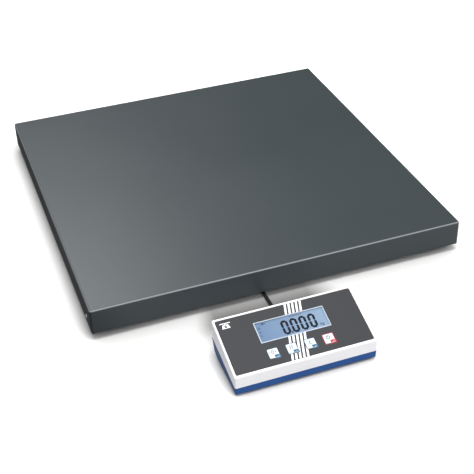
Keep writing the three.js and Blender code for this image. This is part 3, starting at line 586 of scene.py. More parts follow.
def pale_floor(name):
    """A smooth white studio floor with a barely visible mottle.

    The object's own sides see it dimmer than the camera does, and dimmest to the left of the
    platform, as if a dark board stood there. The camera also sees painted shade on it in the
    nooks, widest between the platform and the console.
    """
    look = Look(name, (0.02, 0.02, 0.02), 0.75)
    split = look.tree.nodes.new("ShaderNodeSeparateXYZ")
    look.tree.links.new(look.where, split.inputs[0])
    right = look.remap(split.outputs["X"], PLATE_LOW.x - 0.03, PLATE_LOW.x + 0.07)
    front = look.remap(split.outputs["Y"], PLATE_LOW.y - 0.1, PLATE_LOW.y - 0.25)
    look.tint(look.maths("MAXIMUM", right, front), (0.50, 0.50, 0.51))
    seen = look.tree.nodes.new("ShaderNodeLightPath").outputs["Is Camera Ray"]
    look.tint(seen, (0.86, 0.855, 0.85))
    mottle = look.remap(look.noise(5, 4), 0.4, 0.7, 0, 0.3)
    look.tint(look.maths("MULTIPLY", mottle, seen), (0.83, 0.825, 0.82))
    # Painted shade: ambient occlusion darkens the floor's colour for the camera in nooks and along
    # edges.
    nook = look.tree.nodes.new("ShaderNodeAmbientOcclusion")
    nook.inputs["Distance"].default_value = 0.09
    painted_nook_shade = look.remap(nook.outputs["AO"], 0.92, 0.20, 0.0, 0.62)
    # The shade is weaker to the left of the console.
    within = look.remap(split.outputs["X"], SHELL_LOW.x, SHELL_LOW.x + 0.02, 0.5, 1.0)
    behind = look.remap(split.outputs["Y"], PLATE_LOW.y - 0.10, PLATE_LOW.y - 0.06)
    painted_nook_shade = look.maths("MULTIPLY", painted_nook_shade, look.maths("MAXIMUM", within, behind))
    # Between the platform and the console the shade is wide, and deepest near the platform.
    gap = look.tree.nodes.new("ShaderNodeAmbientOcclusion")
    gap.inputs["Distance"].default_value = 0.25
    share = look.remap(gap.outputs["AO"], 0.96, 0.84)
    for axis, none, full, low, high in (
        ("X", SHELL_LOW.x - 0.01, SHELL_LOW.x + 0.03, 0.0, 1.0),
        ("X", SHELL_HIGH.x + 0.03, SHELL_HIGH.x - 0.03, 0.0, 1.0),
        ("Y", SHELL_LOW.y + 0.04, SHELL_HIGH.y, 0.0, 1.0),
        ("Y", SHELL_HIGH.y, PLATE_LOW.y - 0.04, 0.86, 0.99),
        ("Y", PLATE_LOW.y, PLATE_LOW.y - 0.03, 0.70, 1.0),
        ("Y", PLATE_LOW.y + 0.10, PLATE_LOW.y + 0.04, 0.0, 1.0),
    ):
        share = look.maths("MULTIPLY", share, look.remap(split.outputs[axis], none, full, low, high))
    share = look.maths("MAXIMUM", share, painted_nook_shade)
    # Painted shade: the camera sees the floor darken towards this colour.
    look.tint(look.maths("MULTIPLY", share, seen), (0.10, 0.097, 0.094))
    look.bump(look.noise(500, 2), 0.00002)
    return look.done()


# The pan's coat has a painted highlight along its top bends.
COAT = powder_coat("powder_coat", (0.027, 0.036, 0.040), edge_highlight=(0.20, 0.215, 0.225))
CHANNEL_COAT = powder_coat("channel_coat", (0.030, 0.038, 0.042))
ZINC = zinc("zinc_plate")
# Painted highlight: near-white and barely metallic, so the skirt screw reads as a bright glint.
GLINT_PAINTED_ZINC = zinc("zinc_painted_glint", (0.93, 0.93, 0.92), 0.05)
ALLOY = milled("milled_alloy")
FOOT_RUBBER = rubber("foot_rubber", (0.018, 0.018, 0.019))
CABLE = rubber("cable_jacket", (0.010, 0.010, 0.011), grain=500)
BLACK = moulded("black_nylon", (0.014, 0.014, 0.016), 0.42)
BOX_GREY = moulded("box_grey", (0.20, 0.215, 0.23), 0.45)
SHELL_WHITE = moulded("shell_white", (0.76, 0.755, 0.77), 0.36, soft=0.1)
BASE_BLUE = moulded("base_blue", (0.022, 0.076, 0.245), 0.5, gloss=0.12)
FILM = printed("overlay_film", (0.037, 0.038, 0.042), 0.5, gloss=0.2)
INK_WHITE = printed("ink_white", (0.86, 0.86, 0.87))
INK_FRAME = printed("ink_frame", (0.50, 0.55, 0.62))
INK_DARK = printed("ink_dark", (0.012, 0.014, 0.018))
INK_TEAL = printed("ink_teal", (0.003, 0.085, 0.19))
INK_RED = printed("ink_red", (0.42, 0.003, 0.014))
INK_GREY = printed("ink_grey", (0.13, 0.13, 0.14))
KEY_FACE = printed("key_face", (0.58, 0.68, 0.72), 0.35)
CRYSTAL = display_light("display_light")
SEGMENT = printed("lit_segment", (0.002, 0.003, 0.008), 0.4, gloss=0.2)
PANE = clear_pane("clear_pane")
GUIDE = moulded("light_guide", (0.70, 0.80, 0.90), 0.3, soft=0.2)
BOARD = circuit_board("circuit_board")
SLEEVE = shrink_sleeve("shrink_sleeve")
SEALANT = potting("gauge_potting")


# ------------------------------------------------------------------------------- load plate
def load_plate():
    """The folded pan: rounded bends along the top, welded corners, a plain lower edge."""
    half = (PLATE_HIGH.x - PLATE_LOW.x) / 2
    sheet = 2.5 * MM
    bend = 3 * MM
    corner = 3.2 * MM
    bottom, top = PLATE_LOW.z, PLATE_HIGH.z

    def ring(inset, z):
        radius = max(corner - inset, 0.5 * MM)
        return [(x, y, z) for x, y in rounded_rect(half - inset, half - inset, radius)]

    under = top - sheet
    loops = [ring(sheet + 14 * MM, under), ring(sheet + 0.6 * MM, under)]
    loops += [ring(sheet, under - 0.6 * MM), ring(sheet, bottom + 0.3 * MM)]
    loops += [ring(sheet - 0.3 * MM, bottom), ring(0.4 * MM, bottom), ring(0, bottom + 0.4 * MM)]
    for step in range(7):
        angle = math.radians(90 * step / 6)
        loops.append(ring(bend * (1 - math.cos(angle)), top - bend * (1 - math.sin(angle))))
    loops.append(ring(bend + 14 * MM, top))
    bm = bmesh.new()
    skin(bm, loops)
    piece = thing("load_plate_pan", bm, COAT)
    even_normals(piece)
    place(piece, "platform", "powder_coat", "load_plate")

    # The pads that take the load cells' bolts, welded under the top.
    bm = bmesh.new()
    for corner_name in CORNERS:
        cell_low, cell_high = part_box(f"load_cell_{corner_name}")
        outward = SIDES[corner_name.split("_")[1]]
        inner = cell_low.x if outward > 0 else cell_high.x
        ends = sorted((inner, inner + outward * 56 * MM))
        low = (ends[0], cell_low.y - 2 * MM, cell_high.z)
        high = (ends[1], cell_high.y + 2 * MM, under)
        block(bm, low, high, 0.6 * MM)
    place(thing("cell_pads", bm, COAT), "platform", "powder_coat")


def weld_beads():
    """Stitch welds along the channels' edges."""
    under = PLATE_HIGH.z - 2.5 * MM
    bm = bmesh.new()

    def bead(start, end):
        count = max(8, round((end - start).length / (1.1 * MM)))
        points = [start.lerp(end, i / count) for i in range(count + 1)]

        def size(share):
            taper = min(1.0, 6 * min(share, 1 - share) + 0.35)
            return 2.1 * MM * taper * (0.86 + 0.14 * math.cos(share * count * 2.1))

        tube(bm, points, size, 8)

    for node in ("stiffener_left", "stiffener_right"):
        low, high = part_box(node)
        for x in (low.x - 0.6 * MM, high.x + 0.6 * MM):
            for k in range(7):
                middle = low.y + (high.y - low.y) * (k + 0.5) / 7
                start = Vector((x, middle - 16 * MM, under - 0.4 * MM))
                bead(start, start + Vector((0, 32 * MM, 0)))
    low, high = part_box("cross_member")
    for y in (low.y - 0.6 * MM, high.y + 0.6 * MM):
        for k in range(3):
            middle = low.x + (high.x - low.x) * (k + 0.5) / 3
            start = Vector((middle - 16 * MM, y, under - 0.4 * MM))
            bead(start, start + Vector((32 * MM, 0, 0)))
    place(thing("weld_beads", bm, CHANNEL_COAT), "platform", "channel_steel")


def skirt_screw():
    """The small bright screw near the front end of the left skirt, whose glint is a painted highlight.
    """
    bm = bmesh.new()
    head = 3.0 * MM
    profile = [(head * 0.98, -0.4 * MM), (head, 0)]
    for step in range(1, 7):
        angle = math.radians(90 * step / 6)
        profile.append((max(head * math.cos(angle), 0.1 * MM), 1.3 * MM * math.sin(angle)))
    turned(bm, profile, 28)
    at = Vector((PLATE_LOW.x, PLATE_LOW.y + 29 * MM, PLATE_LOW.z + 12.5 * MM))
    out = Matrix.Translation(at) @ Matrix.Rotation(math.radians(-90), 4, "Y")
    piece = thing("skirt_screw", bm, GLINT_PAINTED_ZINC, out)
    for turn in (0, 90):
        bm = bmesh.new()
        block(bm, (-2 * MM, -0.35 * MM, 0.6 * MM), (2 * MM, 0.35 * MM, 2 * MM))
        combine(piece, bm, matrix=out @ Matrix.Rotation(math.radians(turn), 4, "Z"))
    place(piece, "platform", "zinc_steel")


# --------------------------------------------------------------------- load cells and feet
def threaded(bm, radius, low, high, pitch, centre, sides=24):
    """A bar with a real screw thread between two heights."""
    depth = 0.55 * pitch
    rows = round((high - low) / (pitch / 6))
    loops = []
    for row in range(rows + 1):
        z = low + (high - low) * row / rows
        lead = min(1.0, (high - z) / (1.5 * pitch), (z - low) / (1.5 * pitch) + 0.2)
        ring = []
        for i in range(sides):
            angle = 2 * math.pi * i / sides
            phase = (z / pitch - i / sides) % 1.0
            cut = abs(2 * phase - 1) * depth * max(lead, 0)
            size = radius - cut if lead > 0.1 else radius - depth
            ring.append((centre[0] + size * math.cos(angle), centre[1] + size * math.sin(angle), z))
        loops.append(ring)
    skin(bm, loops)


def foot(corner):
    """The rubber pad, and the zinc-plated stud that turns in it."""
    pad_low, pad_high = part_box(f"foot_pad_{corner}")
    stud_low, stud_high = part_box(f"foot_stud_{corner}")
    x, y = (pad_low.x + pad_high.x) / 2, (pad_low.y + pad_high.y) / 2
    radius = (pad_high.x - pad_low.x) / 2
    height = pad_high.z - pad_low.z
    recess = 7.4 * MM
    outline = arc_profile(radius, 0, 1.2 * MM, up=False)
    outline += arc_profile(radius, height * 0.55, 1.0 * MM)
    outline += [(radius - 3.6 * MM, height * 0.8), (radius - 4.6 * MM, height - 0.8 * MM)]
    outline += [(radius - 5.4 * MM, height), (recess + 0.6 * MM, height)]
    outline += [(recess, height - 0.5 * MM), (recess, 4.1 * MM), (0.1 * MM, 4.05 * MM)]
    bm = bmesh.new()
    turned(bm, [(radius * 0.2, 0.25 * MM)] + outline, 56, (x, y, pad_low.z))
    pad = thing(f"rubber_pad_{corner}", bm, FOOT_RUBBER)
    place(pad, f"foot_{corner}", "black_rubber", f"foot_pad_{corner}")

    bm = bmesh.new()
    base = pad_low.z + height + 0.3 * MM
    seat = [(6.4 * MM, stud_low.z), (6.4 * MM, base + 0.5 * MM)]
    turned(bm, seat, 40, (x, y, 0))
    hexagon(bm, 17 * MM, base, base + 4.2 * MM, (x, y))
    threaded(bm, 5 * MM, base + 4 * MM, stud_high.z, 1.5 * MM, (x, y))
    stud = thing(f"levelling_stud_{corner}", bm, ZINC)
    place(stud, f"stud_{corner}", "zinc_steel", f"foot_stud_{corner}")


def lock_nut(corner):
    """The nut that locks the stud against the load cell."""
    low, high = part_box(f"lock_nut_{corner}")
    x, y = (low.x + high.x) / 2, (low.y + high.y) / 2
    bm = bmesh.new()
    hexagon(bm, high.x - low.x, low.z, high.z, (x, y))
    piece = thing(f"hex_nut_{corner}", bm, ZINC)
    bm = bmesh.new()
    turned(bm, [(5.3 * MM, low.z - MM), (5.3 * MM, high.z + MM)], 40, (x, y, 0))
    combine(piece, bm)
    place(piece, "platform", "zinc_steel", f"lock_nut_{corner}")


def cell_bolts(corner):
    """The two bolts of a cell, each with a hexagonal head, a washer face and a shank."""
    for which in ("inner", "outer"):
        node = f"cell_bolt_{which}_{corner}"
        low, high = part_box(node)
        x, y = (low.x + high.x) / 2, (low.y + high.y) / 2
        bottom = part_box(f"load_cell_{corner}")[0].z
        bm = bmesh.new()
        hexagon(bm, high.x - low.x, low.z, bottom - 0.6 * MM, (x, y))
        turned(bm, [(5.9 * MM, bottom - 0.8 * MM), (5.9 * MM, bottom)], 40, (x, y, 0))
        turned(bm, [(3.9 * MM, bottom - MM), (3.9 * MM, high.z)], 24, (x, y, 0))
        place(thing(f"hex_bolt_{which}_{corner}", bm, ZINC), "platform", "zinc_steel", node)


def cell_potting(corner):
    """Sealant over the strain gauges, filling the cell's two round pockets."""
    low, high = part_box(f"load_cell_{corner}")
    outward = SIDES[corner.split("_")[1]]
    foot_x = centre_of(f"foot_pad_{corner}").x
    bolt_x = centre_of(f"cell_bolt_outer_{corner}").x
    x = (foot_x + bolt_x) / 2
    z = (low.z + high.z) / 2
    bm = bmesh.new()
    for y, turn in ((low.y, 90), (high.y, -90)):
        part = bmesh.new()
        outline = [(8.2 * MM, -8 * MM), (8.2 * MM, -1.6 * MM), (7 * MM, -1.0 * MM)]
        outline += [(4.5 * MM, -0.6 * MM), (1.5 * MM, -0.9 * MM)]
        turned(part, outline, 36)
        turned_out = Matrix.Translation((x, y, z)) @ Matrix.Rotation(math.radians(turn), 4, "X")
        bmesh.ops.transform(part, matrix=turned_out, verts=part.verts)
        mesh = bpy.data.meshes.new("part")
        part.to_mesh(mesh)
        part.free()
        bm.from_mesh(mesh)
        bpy.data.meshes.remove(mesh)
    # A dab where the cable leaves the cell's inner side.
    side = low.y if SIDES[corner.split("_")[0]] > 0 else high.y
    inward = -1 if SIDES[corner.split("_")[0]] > 0 else 1
    exit_x = (low.x if outward > 0 else high.x) + outward * 10 * MM
    start = Vector((exit_x, side, low.z + 7.5 * MM))
    points = [start + Vector((0, inward * d * MM, 0)) for d in (-0.4, 1.0, 2.6, 4.2)]
    tube(bm, points, lambda share: (4.4 - 2.1 * share) * MM, 20)
    place(thing(f"gauge_potting_{corner}", bm, SEALANT), "platform", "load_cell_alloy")


# ------------------------------------------------------------------------------ the cables
def console_lead():
    """The cable from the junction box, in a loose loop on the floor, to the console."""
    gland_low, gland_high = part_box("cable_gland")
    grommet_low, grommet_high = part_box("cable_grommet")
    cable_low, cable_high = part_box("console_cable")
    radius = 2.5 * MM
    lead_x = (grommet_low.x + grommet_high.x) / 2
    port_x = (gland_low.x + gland_high.x) / 2
    port_z = (gland_low.z + gland_high.z) / 2
    rear_z = (grommet_low.z + grommet_high.z) / 2
    front = gland_high.y
    rear = SHELL_HIGH.y
    floor = FLOOR + radius + 0.2 * MM
    way = [
        (port_x, cable_high.y, port_z),
        (port_x, front - 26 * MM, port_z),
        (port_x, front - 38 * MM, floor),
        (port_x - 6 * MM, front - 50 * MM, floor),
        (lead_x - 26 * MM, front - 64 * MM, floor),
        (lead_x - 26 * MM, front - 78 * MM, floor),
        (lead_x + 22 * MM, front - 94 * MM, floor),
        (lead_x + 22 * MM, front - 108 * MM, floor),
        (lead_x, front - 126 * MM, floor),
        (lead_x, rear + 52 * MM, floor),
        (lead_x, rear + 24 * MM, rear_z),
        (lead_x, cable_low.y, rear_z),
    ]
    bm = bmesh.new()
    tube(bm, bent_path(way, 13 * MM, 10), radius, 18)
    piece = thing("console_lead", bm, CABLE)
    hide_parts("console_cable")
    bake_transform(piece)


def rounded_cables():
    """The cell cables keep their CAD shape, made round by subdivision."""
    for corner in CORNERS:
        node = frame["nodes"][f"cell_cable_{corner}"]
        weld = node.modifiers.new("weld", "WELD")
        weld.merge_threshold = 0.01 * MM
        smooth = node.modifiers.new("round", "SUBSURF")
        smooth.levels = smooth.render_levels = 2


# ------------------------------------------------------------------------ console: the shells
def console_ring(inset, height, radius=None):
    """A loop round the console in plan, drawn in by inset, at height(y) above the floor."""
    corner = CONSOLE_CORNER if radius is None else radius
    half_x = CONSOLE_WIDTH / 2 - inset
    half_y = CONSOLE_DEPTH / 2 - inset
    outline = rounded_rect(half_x, half_y, max(corner - inset, 0.4 * MM))
    return [(x, y + CONSOLE_DEPTH / 2, height(y + CONSOLE_DEPTH / 2)) for x, y in outline]


def top_at(y):
    return TOP_FRONT + y * SLOPE


def split_at(y):
    return SPLIT_FRONT + (SPLIT_BACK - SPLIT_FRONT) * y / CONSOLE_DEPTH


def raised(surface, offset):
    """The surface lifted by an offset."""
    return lambda y: surface(y) + offset


def top_shell():
    """The light upper shell: rounded rim, sunk panel, and openings for display and keys."""
    bend = 1.6 * MM
    rim = (CONSOLE_WIDTH - OVERLAY_WIDTH) / 2 - 0.3 * MM
    lower = raised(split_at, PARTING_GAP)
    loops = [console_ring(0.35 * MM, lower), console_ring(0, raised(lower, 0.35 * MM))]
    for step in range(7):
        angle = math.radians(90 * step / 6)
        drop = bend * (1 - math.sin(angle))
        loops.append(console_ring(bend * (1 - math.cos(angle)), raised(top_at, -drop)))
    loops.append(console_ring(rim - 0.3 * MM, top_at))
    loops.append(console_ring(rim - 0.1 * MM, raised(top_at, -0.08 * MM)))
    loops.append(console_ring(rim, raised(top_at, -0.3 * MM)))
    loops.append(console_ring(rim, raised(top_at, -RECESS / math.cos(PANEL_ANGLE))))
    bm = bmesh.new()
    skin(bm, loops)
    piece = thing("console_cover_shell", bm, SHELL_WHITE, CONSOLE_MATRIX)

    roof = (RECESS + WALL) / math.cos(PANEL_ANGLE)
    bm = bmesh.new()
    skin(bm, [console_ring(WALL, lambda y: 0.0), console_ring(WALL, raised(top_at, -roof))])
    combine(piece, bm, matrix=CONSOLE_MATRIX)

    bm = bmesh.new()
    deep, high = -8 * MM, 4 * MM
    openings = [(DISPLAY_U, DISPLAY_V, DISPLAY_WIDTH, DISPLAY_LENGTH)]
    openings += [(KEY_U[key], KEY_V, KEY_OPENING, KEY_OPENING) for key in KEYS]
    for u, v, width, length in openings:
        block(bm, (u - width / 2, v - length / 2, deep), (u + width / 2, v + length / 2, high))
    combine(piece, bm, matrix=PANEL_MATRIX)
    even_normals(piece)
    place(piece, "console", "console_white", "console_top_shell")


def base_ring(inset, height, lean_from=None):
    """A loop round the base; with lean_from, drawn in sideways by the draft down to it."""
    points = []
    for x, y, z in console_ring(inset, height):
        lean = 0 if lean_from is None else (split_at(y) - lean_from) * BASE_DRAFT
        points.append((x - math.copysign(lean, x), y, z))
    return points


def rear_round_rest(bm, radius):
    """What a rounded lower rear edge of the given radius leaves out."""
    middle_y, middle_z = CONSOLE_DEPTH - REAR_ROUND, BASE_BOTTOM + REAR_ROUND
    outline = [(middle_y, -5 * MM)]
    for step in range(13):
        angle = math.radians(90 * step / 12)
        outline.append((middle_y + radius * math.sin(angle), middle_z - radius * math.cos(angle)))
    outline += [(CONSOLE_DEPTH + 5 * MM, middle_z), (CONSOLE_DEPTH + 5 * MM, -5 * MM)]
    half = CONSOLE_WIDTH / 2 + 5 * MM
    skin(bm, [[(x, y, z) for y, z in outline] for x in (-half, half)])


def base_shell():
    """The blue lower shell: leaning sides, screw holes, battery bay and rear ports."""
    edge = 0.5 * MM
    loops = [base_ring(edge + 3 * MM, lambda y: BASE_BOTTOM, BASE_BOTTOM)]
    for step in range(5):
        angle = math.radians(90 * step / 4)
        rise = edge * (1 - math.cos(angle))
        inward = edge * (1 - math.sin(angle))
        loops.append(base_ring(inward, lambda y, h=BASE_BOTTOM + rise: h, BASE_BOTTOM))
    loops.append(base_ring(0, raised(split_at, -0.35 * MM)))
    loops.append(base_ring(0.35 * MM, split_at))
    bm = bmesh.new()
    skin(bm, loops)
    piece = thing("console_lower_shell", bm, BASE_BLUE, CONSOLE_MATRIX)
    bm = bmesh.new()
    rear_round_rest(bm, REAR_ROUND)
    combine(piece, bm, matrix=CONSOLE_MATRIX)

    floor = BASE_BOTTOM + WALL
    bm = bmesh.new()
    skin(bm, [base_ring(WALL, lambda y: floor, floor), base_ring(WALL, raised(split_at, 5 * MM))])
    hollow = thing("hollow", bm, None)
    bm = bmesh.new()
    rear_round_rest(bm, REAR_ROUND - WALL)
    combine(hollow, bm)
    bm = bmesh.new()
    bm.from_mesh(hollow.data)
    bpy.data.objects.remove(hollow)
    combine(piece, bm, matrix=CONSOLE_MATRIX)

    # Towers for the case screws, drilled from below, and the ribs of the battery bay.
    cover_low, cover_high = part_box("battery_cover")
    bay_low = cover_low.x - CONSOLE_X
    bay_high = cover_high.x - CONSOLE_X
    bay_front = cover_low.y - SHELL_LOW.y - 0.3 * MM
    screws = []
    for corner in CORNERS:
        centre = centre_of(f"console_screw_{corner}")
        screws.append((centre.x - CONSOLE_X, centre.y - SHELL_LOW.y))
    bm = bmesh.new()
    for x, y in screws:
        turned(bm, [(5 * MM, floor - MM), (5 * MM, 14 * MM)], 32, (x, y, 0))
    rib_low, rib_high = floor - 0.5 * MM, 18 * MM
    for x in (bay_low - 0.3 * MM, bay_high + 0.3 * MM):
        block(bm, (x - MM, bay_front + 2 * MM, rib_low), (x + MM, 80 * MM, rib_high))
    front_rib = (bay_high - 1.3 * MM, bay_front - 0.1 * MM, rib_high)
    block(bm, (bay_low + 1.3 * MM, bay_front - 1.6 * MM, rib_low), front_rib)
    combine(piece, bm, "UNION", CONSOLE_MATRIX)

    bm = bmesh.new()
    for x, y in screws:
        turned(bm, [(3.6 * MM, 0), (3.6 * MM, 11 * MM)], 32, (x, y, 0))
        turned(bm, [(1.9 * MM, 10 * MM), (1.9 * MM, 15 * MM)], 20, (x, y, 0))
    combine(piece, bm, matrix=CONSOLE_MATRIX)
    bm = bmesh.new()
    opening = (bay_high - 0.6 * MM, CONSOLE_DEPTH + 2 * MM, floor)
    block(bm, (bay_low + 0.6 * MM, bay_front, 0), opening)
    combine(piece, bm, matrix=CONSOLE_MATRIX)
    bm = bmesh.new()
    groove = (bay_high + 0.3 * MM, CONSOLE_DEPTH + 2 * MM, BASE_BOTTOM + 2 * MM)
    block(bm, (bay_low - 0.3 * MM, bay_front + 2 * MM, BASE_BOTTOM + 0.6 * MM), groove)
    combine(piece, bm, matrix=CONSOLE_MATRIX)

    for node, radius in (("cable_grommet", 5.9 * MM), ("power_socket", 4.5 * MM)):
        centre = centre_of(node)
        bm = bmesh.new()
        turned(bm, [(radius, -4 * MM), (radius, 4 * MM)], 40)
        at = Matrix.Translation((centre.x, SHELL_HIGH.y, centre.z))
        combine(piece, bm, matrix=at @ Matrix.Rotation(math.radians(90), 4, "X"))
    even_normals(piece)
    place(piece, "console", "console_blue", "console_base_shell")


def console_feet():
    """Four small round rubber feet."""
    for corner in CORNERS:
        low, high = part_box(f"console_foot_{corner}")
        radius = (high.x - low.x) / 2
        height = high.z - low.z
        centre = ((low.x + high.x) / 2, (low.y + high.y) / 2, low.z)
        profile = [(radius * 0.3, 0)] + arc_profile(radius - 0.8 * MM, 0, 1.2 * MM, up=False)
        profile += [(radius - 0.2 * MM, height * 0.6), (radius, height)]
        bm = bmesh.new()
        turned(bm, profile, 40, centre)
        piece = thing(f"bumper_{corner}", bm, FOOT_RUBBER)
        place(piece, "console", "black_rubber", f"console_foot_{corner}")


def console_screws():
    """Cross-head case screws, seen at the bottom of their counterbores."""
    for corner in CORNERS:
        node = f"console_screw_{corner}"
        low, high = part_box(node)
        x, y = (low.x + high.x) / 2, (low.y + high.y) / 2
        bm = bmesh.new()
        head = 2.7 * MM
        profile = [(1.2 * MM, low.z), (2.6 * MM, low.z + 0.5 * MM), (3.15 * MM, low.z + 1.4 * MM)]
        profile += [(3.15 * MM, low.z + head), (1.5 * MM, low.z + head), (1.5 * MM, high.z)]
        turned(bm, profile, 32, (x, y, 0))
        piece = thing(f"case_screw_{corner}", bm, ZINC)
        # One slot after the other: a tool that crosses itself would cut everything away.
        for half_x, half_y in ((1.7 * MM, 0.32 * MM), (0.32 * MM, 1.7 * MM)):
            bm = bmesh.new()
            low_corner = (x - half_x, y - half_y, low.z - MM)
            block(bm, low_corner, (x + half_x, y + half_y, low.z + 1.3 * MM))
            combine(piece, bm)
        place(piece, "console", "zinc_steel", node)


# --------------------------------------------------------------- console: overlay and printing
def panel_piece(name, bm, material, slot, body="console", nodes=()):
    """A piece built in the panel's frame."""
    return place(thing(name, bm, material, PANEL_MATRIX), body, slot, *nodes)


def rectangle(u, v, width, length, radius=0.0):
    """Outline of a rectangle about a centre, with rounded corners if a radius is given."""
    if radius:
        outline = rounded_rect(width / 2, length / 2, radius, 5)
    else:
        outline = [(width / 2, length / 2), (-width / 2, length / 2)]
        outline += [(-width / 2, -length / 2), (width / 2, -length / 2)]
    return [(u + x, v + y) for x, y in outline]


def overlay():
    """The printed polyester sheet with its openings."""
    bm = bmesh.new()
    low = -RECESS + 0.3 * MM
    outline = rectangle(0, PANEL_LENGTH / 2, OVERLAY_WIDTH, OVERLAY_LENGTH, 2.2 * MM)
    slab(bm, outline, low, OVERLAY_TOP, 0.08 * MM)
    piece = thing("overlay_sheet", bm, FILM, PANEL_MATRIX)
    bm = bmesh.new()
    openings = [(DISPLAY_U, DISPLAY_V, DISPLAY_WIDTH, DISPLAY_LENGTH)]
    openings += [(KEY_U[key], KEY_V, KEY_OPENING, KEY_OPENING) for key in KEYS]
    for u, v, width, length in openings:
        block(bm, (u - width / 2, v - length / 2, -4 * MM), (u + width / 2, v + length / 2, 4 * MM))
    combine(piece, bm, matrix=PANEL_MATRIX)
    even_normals(piece)
    place(piece, "console", "keypad_film", "keypad_overlay")


def ring_print(bm, outer, inner, low, high):
    """A printed frame between two outlines of equal length."""
    loops = [
        [(x, y, low) for x, y in outer],
        [(x, y, high) for x, y in outer],
        [(x, y, high) for x, y in inner],
        [(x, y, low) for x, y in inner],
    ]
    loops.append(loops[0])
    rings = [[bm.verts.new(point) for point in loop] for loop in loops[:4]]
    rings.append(rings[0])
    for lower, upper in zip(rings, rings[1:]):
        for i in range(len(lower)):
            j = (i + 1) % len(lower)
            bm.faces.new((lower[i], lower[j], upper[j], upper[i]))


def stroke(bm, points, width, low, high):
    """A printed line of even width through points, one straight slab for each run."""
    for start, end in zip(points, points[1:]):
        a, b = Vector(start), Vector(end)
        along = (b - a).normalized() * width / 2
        across = Vector((-along.y, along.x))
        outline = [a - along - across, b + along - across, b + along + across, a - along + across]
        slab(bm, [tuple(p) for p in outline], low, high)


def arc_points(u, v, radius, start, end, steps=14):
    """Points on an arc, with its ends in degrees."""
    points = []
    for step in range(steps + 1):
        angle = math.radians(start + (end - start) * step / steps)
        points.append((u + radius * math.cos(angle), v + radius * math.sin(angle)))
    return points


def bars():
    """Five even slanting bars behind the display and the keys."""
    count, width, gap, lean = 5, 3.1 * MM, 2.6 * MM, 23 * MM
    top = PANEL_LENGTH / 2 + OVERLAY_LENGTH / 2 - 0.1 * MM
    bottom = PANEL_LENGTH / 2 - OVERLAY_LENGTH / 2 + 0.1 * MM
    first = 1.4 * MM
    bm = bmesh.new()
    for i in range(count):
        u = first + i * (width + gap)
        outline = [(u - lean, bottom), (u - lean + width, bottom), (u + width, top), (u, top)]
        slab(bm, outline, OVERLAY_TOP, OVERLAY_TOP + PRINT)
    piece = thing("panel_bars", bm, INK_WHITE, PANEL_MATRIX)
    bm = bmesh.new()
    margin = 0.4 * MM
    cuts = [(DISPLAY_U, DISPLAY_V, DISPLAY_WIDTH + margin, DISPLAY_LENGTH + margin)]
    cuts += [(KEY_U[key], KEY_V, KEY_OPENING + 1.2 * MM, KEY_OPENING + 1.2 * MM) for key in KEYS]
    for u, v, width, length in cuts:
        block(bm, (u - width / 2, v - length / 2, -4 * MM), (u + width / 2, v + length / 2, 4 * MM))
    combine(piece, bm, matrix=PANEL_MATRIX)
    place(piece, "console", "keypad_film")


def display_frame():
    """The pale line printed round the edge of the display's window."""
    bm = bmesh.new()
    low, high = PANE_TOP, PANE_TOP + PRINT
    width, length = DISPLAY_WIDTH - 0.6 * MM, DISPLAY_LENGTH - 0.6 * MM
    outer = rectangle(DISPLAY_U, DISPLAY_V, width, length)
    inner = rectangle(DISPLAY_U, DISPLAY_V, width - 2 * MM, length - 2 * MM)
    ring_print(bm, outer, inner, low, high)
    panel_piece("display_line", bm, INK_FRAME, "keypad_film")


def key_frames():
    """A thin coloured line on the overlay round each key."""
    low, high = OVERLAY_TOP, OVERLAY_TOP + PRINT
    for key in KEYS:
        red = key == "key_power"
        width = 1.5 * MM if red else 0.6 * MM
        bm = bmesh.new()
        inner = rectangle(KEY_U[key], KEY_V, KEY_OPENING, KEY_OPENING)
        outer = rectangle(KEY_U[key], KEY_V, KEY_OPENING + width, KEY_OPENING + width)
        ring_print(bm, outer, inner, low, high)
        panel_piece(f"{key}_line", bm, INK_RED if red else INK_TEAL, "keypad_film")


def pictogram():
    """A plain weighing-pan sign in the panel's far left corner."""
    low, high = OVERLAY_TOP, OVERLAY_TOP + PRINT
    u = -OVERLAY_WIDTH / 2 + 13 * MM
    v = PANEL_LENGTH / 2 + OVERLAY_LENGTH / 2 - 10 * MM
    bm = bmesh.new()
    stroke(bm, [(u - 7 * MM, v + 3.6 * MM), (u + 7 * MM, v + 3.6 * MM)], 1.3 * MM, low, high)
    stroke(bm, [(u, v + 3.6 * MM), (u, v + 1.0 * MM)], 1.3 * MM, low, high)
    body = [(u - 6 * MM, v - 5 * MM), (u + 6 * MM, v - 5 * MM)]
    body += [(u + 4 * MM, v + 1.2 * MM), (u - 4 * MM, v + 1.2 * MM)]
    slab(bm, body, low, high)
    piece = thing("pan_pictogram", bm, INK_WHITE, PANEL_MATRIX)
    place(piece, "console", "keypad_film")
    bm = bmesh.new()
    slab(bm, [(u + x, v - 1.9 * MM + y) for x, y in circle(2.1 * MM, 28)], high, high + PRINT)
    panel_piece("pan_dial", bm, FILM, "keypad_film")
    bm = bmesh.new()
    tip = (u + 1.2 * MM, v - 0.7 * MM)
    stroke(bm, [(u, v - 2.2 * MM), tip], 0.5 * MM, high + PRINT, high + 2 * PRINT)
    panel_piece("pan_needle", bm, INK_WHITE, "keypad_film")


# ----------------------------------------------------------------------- console: the display
def crystal_layer():
    """The liquid crystal glass under the window, and the frame hidden below it."""
    low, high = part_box("lcd_panel")
    bm = bmesh.new()
    gap = 0.3 * MM
    wide, long = DISPLAY_WIDTH - 2 * gap, DISPLAY_LENGTH - 2 * gap
    slab(bm, rectangle(DISPLAY_U, DISPLAY_V, wide, long), -3.9 * MM, GLASS_TOP, 0.1 * MM)
    flange = rectangle(DISPLAY_U, DISPLAY_V, high.x - low.x, DISPLAY_LENGTH + 7.6 * MM)
    slab(bm, flange, -4.6 * MM, -3.8 * MM)
    panel_piece("crystal_glass", bm, CRYSTAL, "display_glass", nodes=("lcd_panel",))


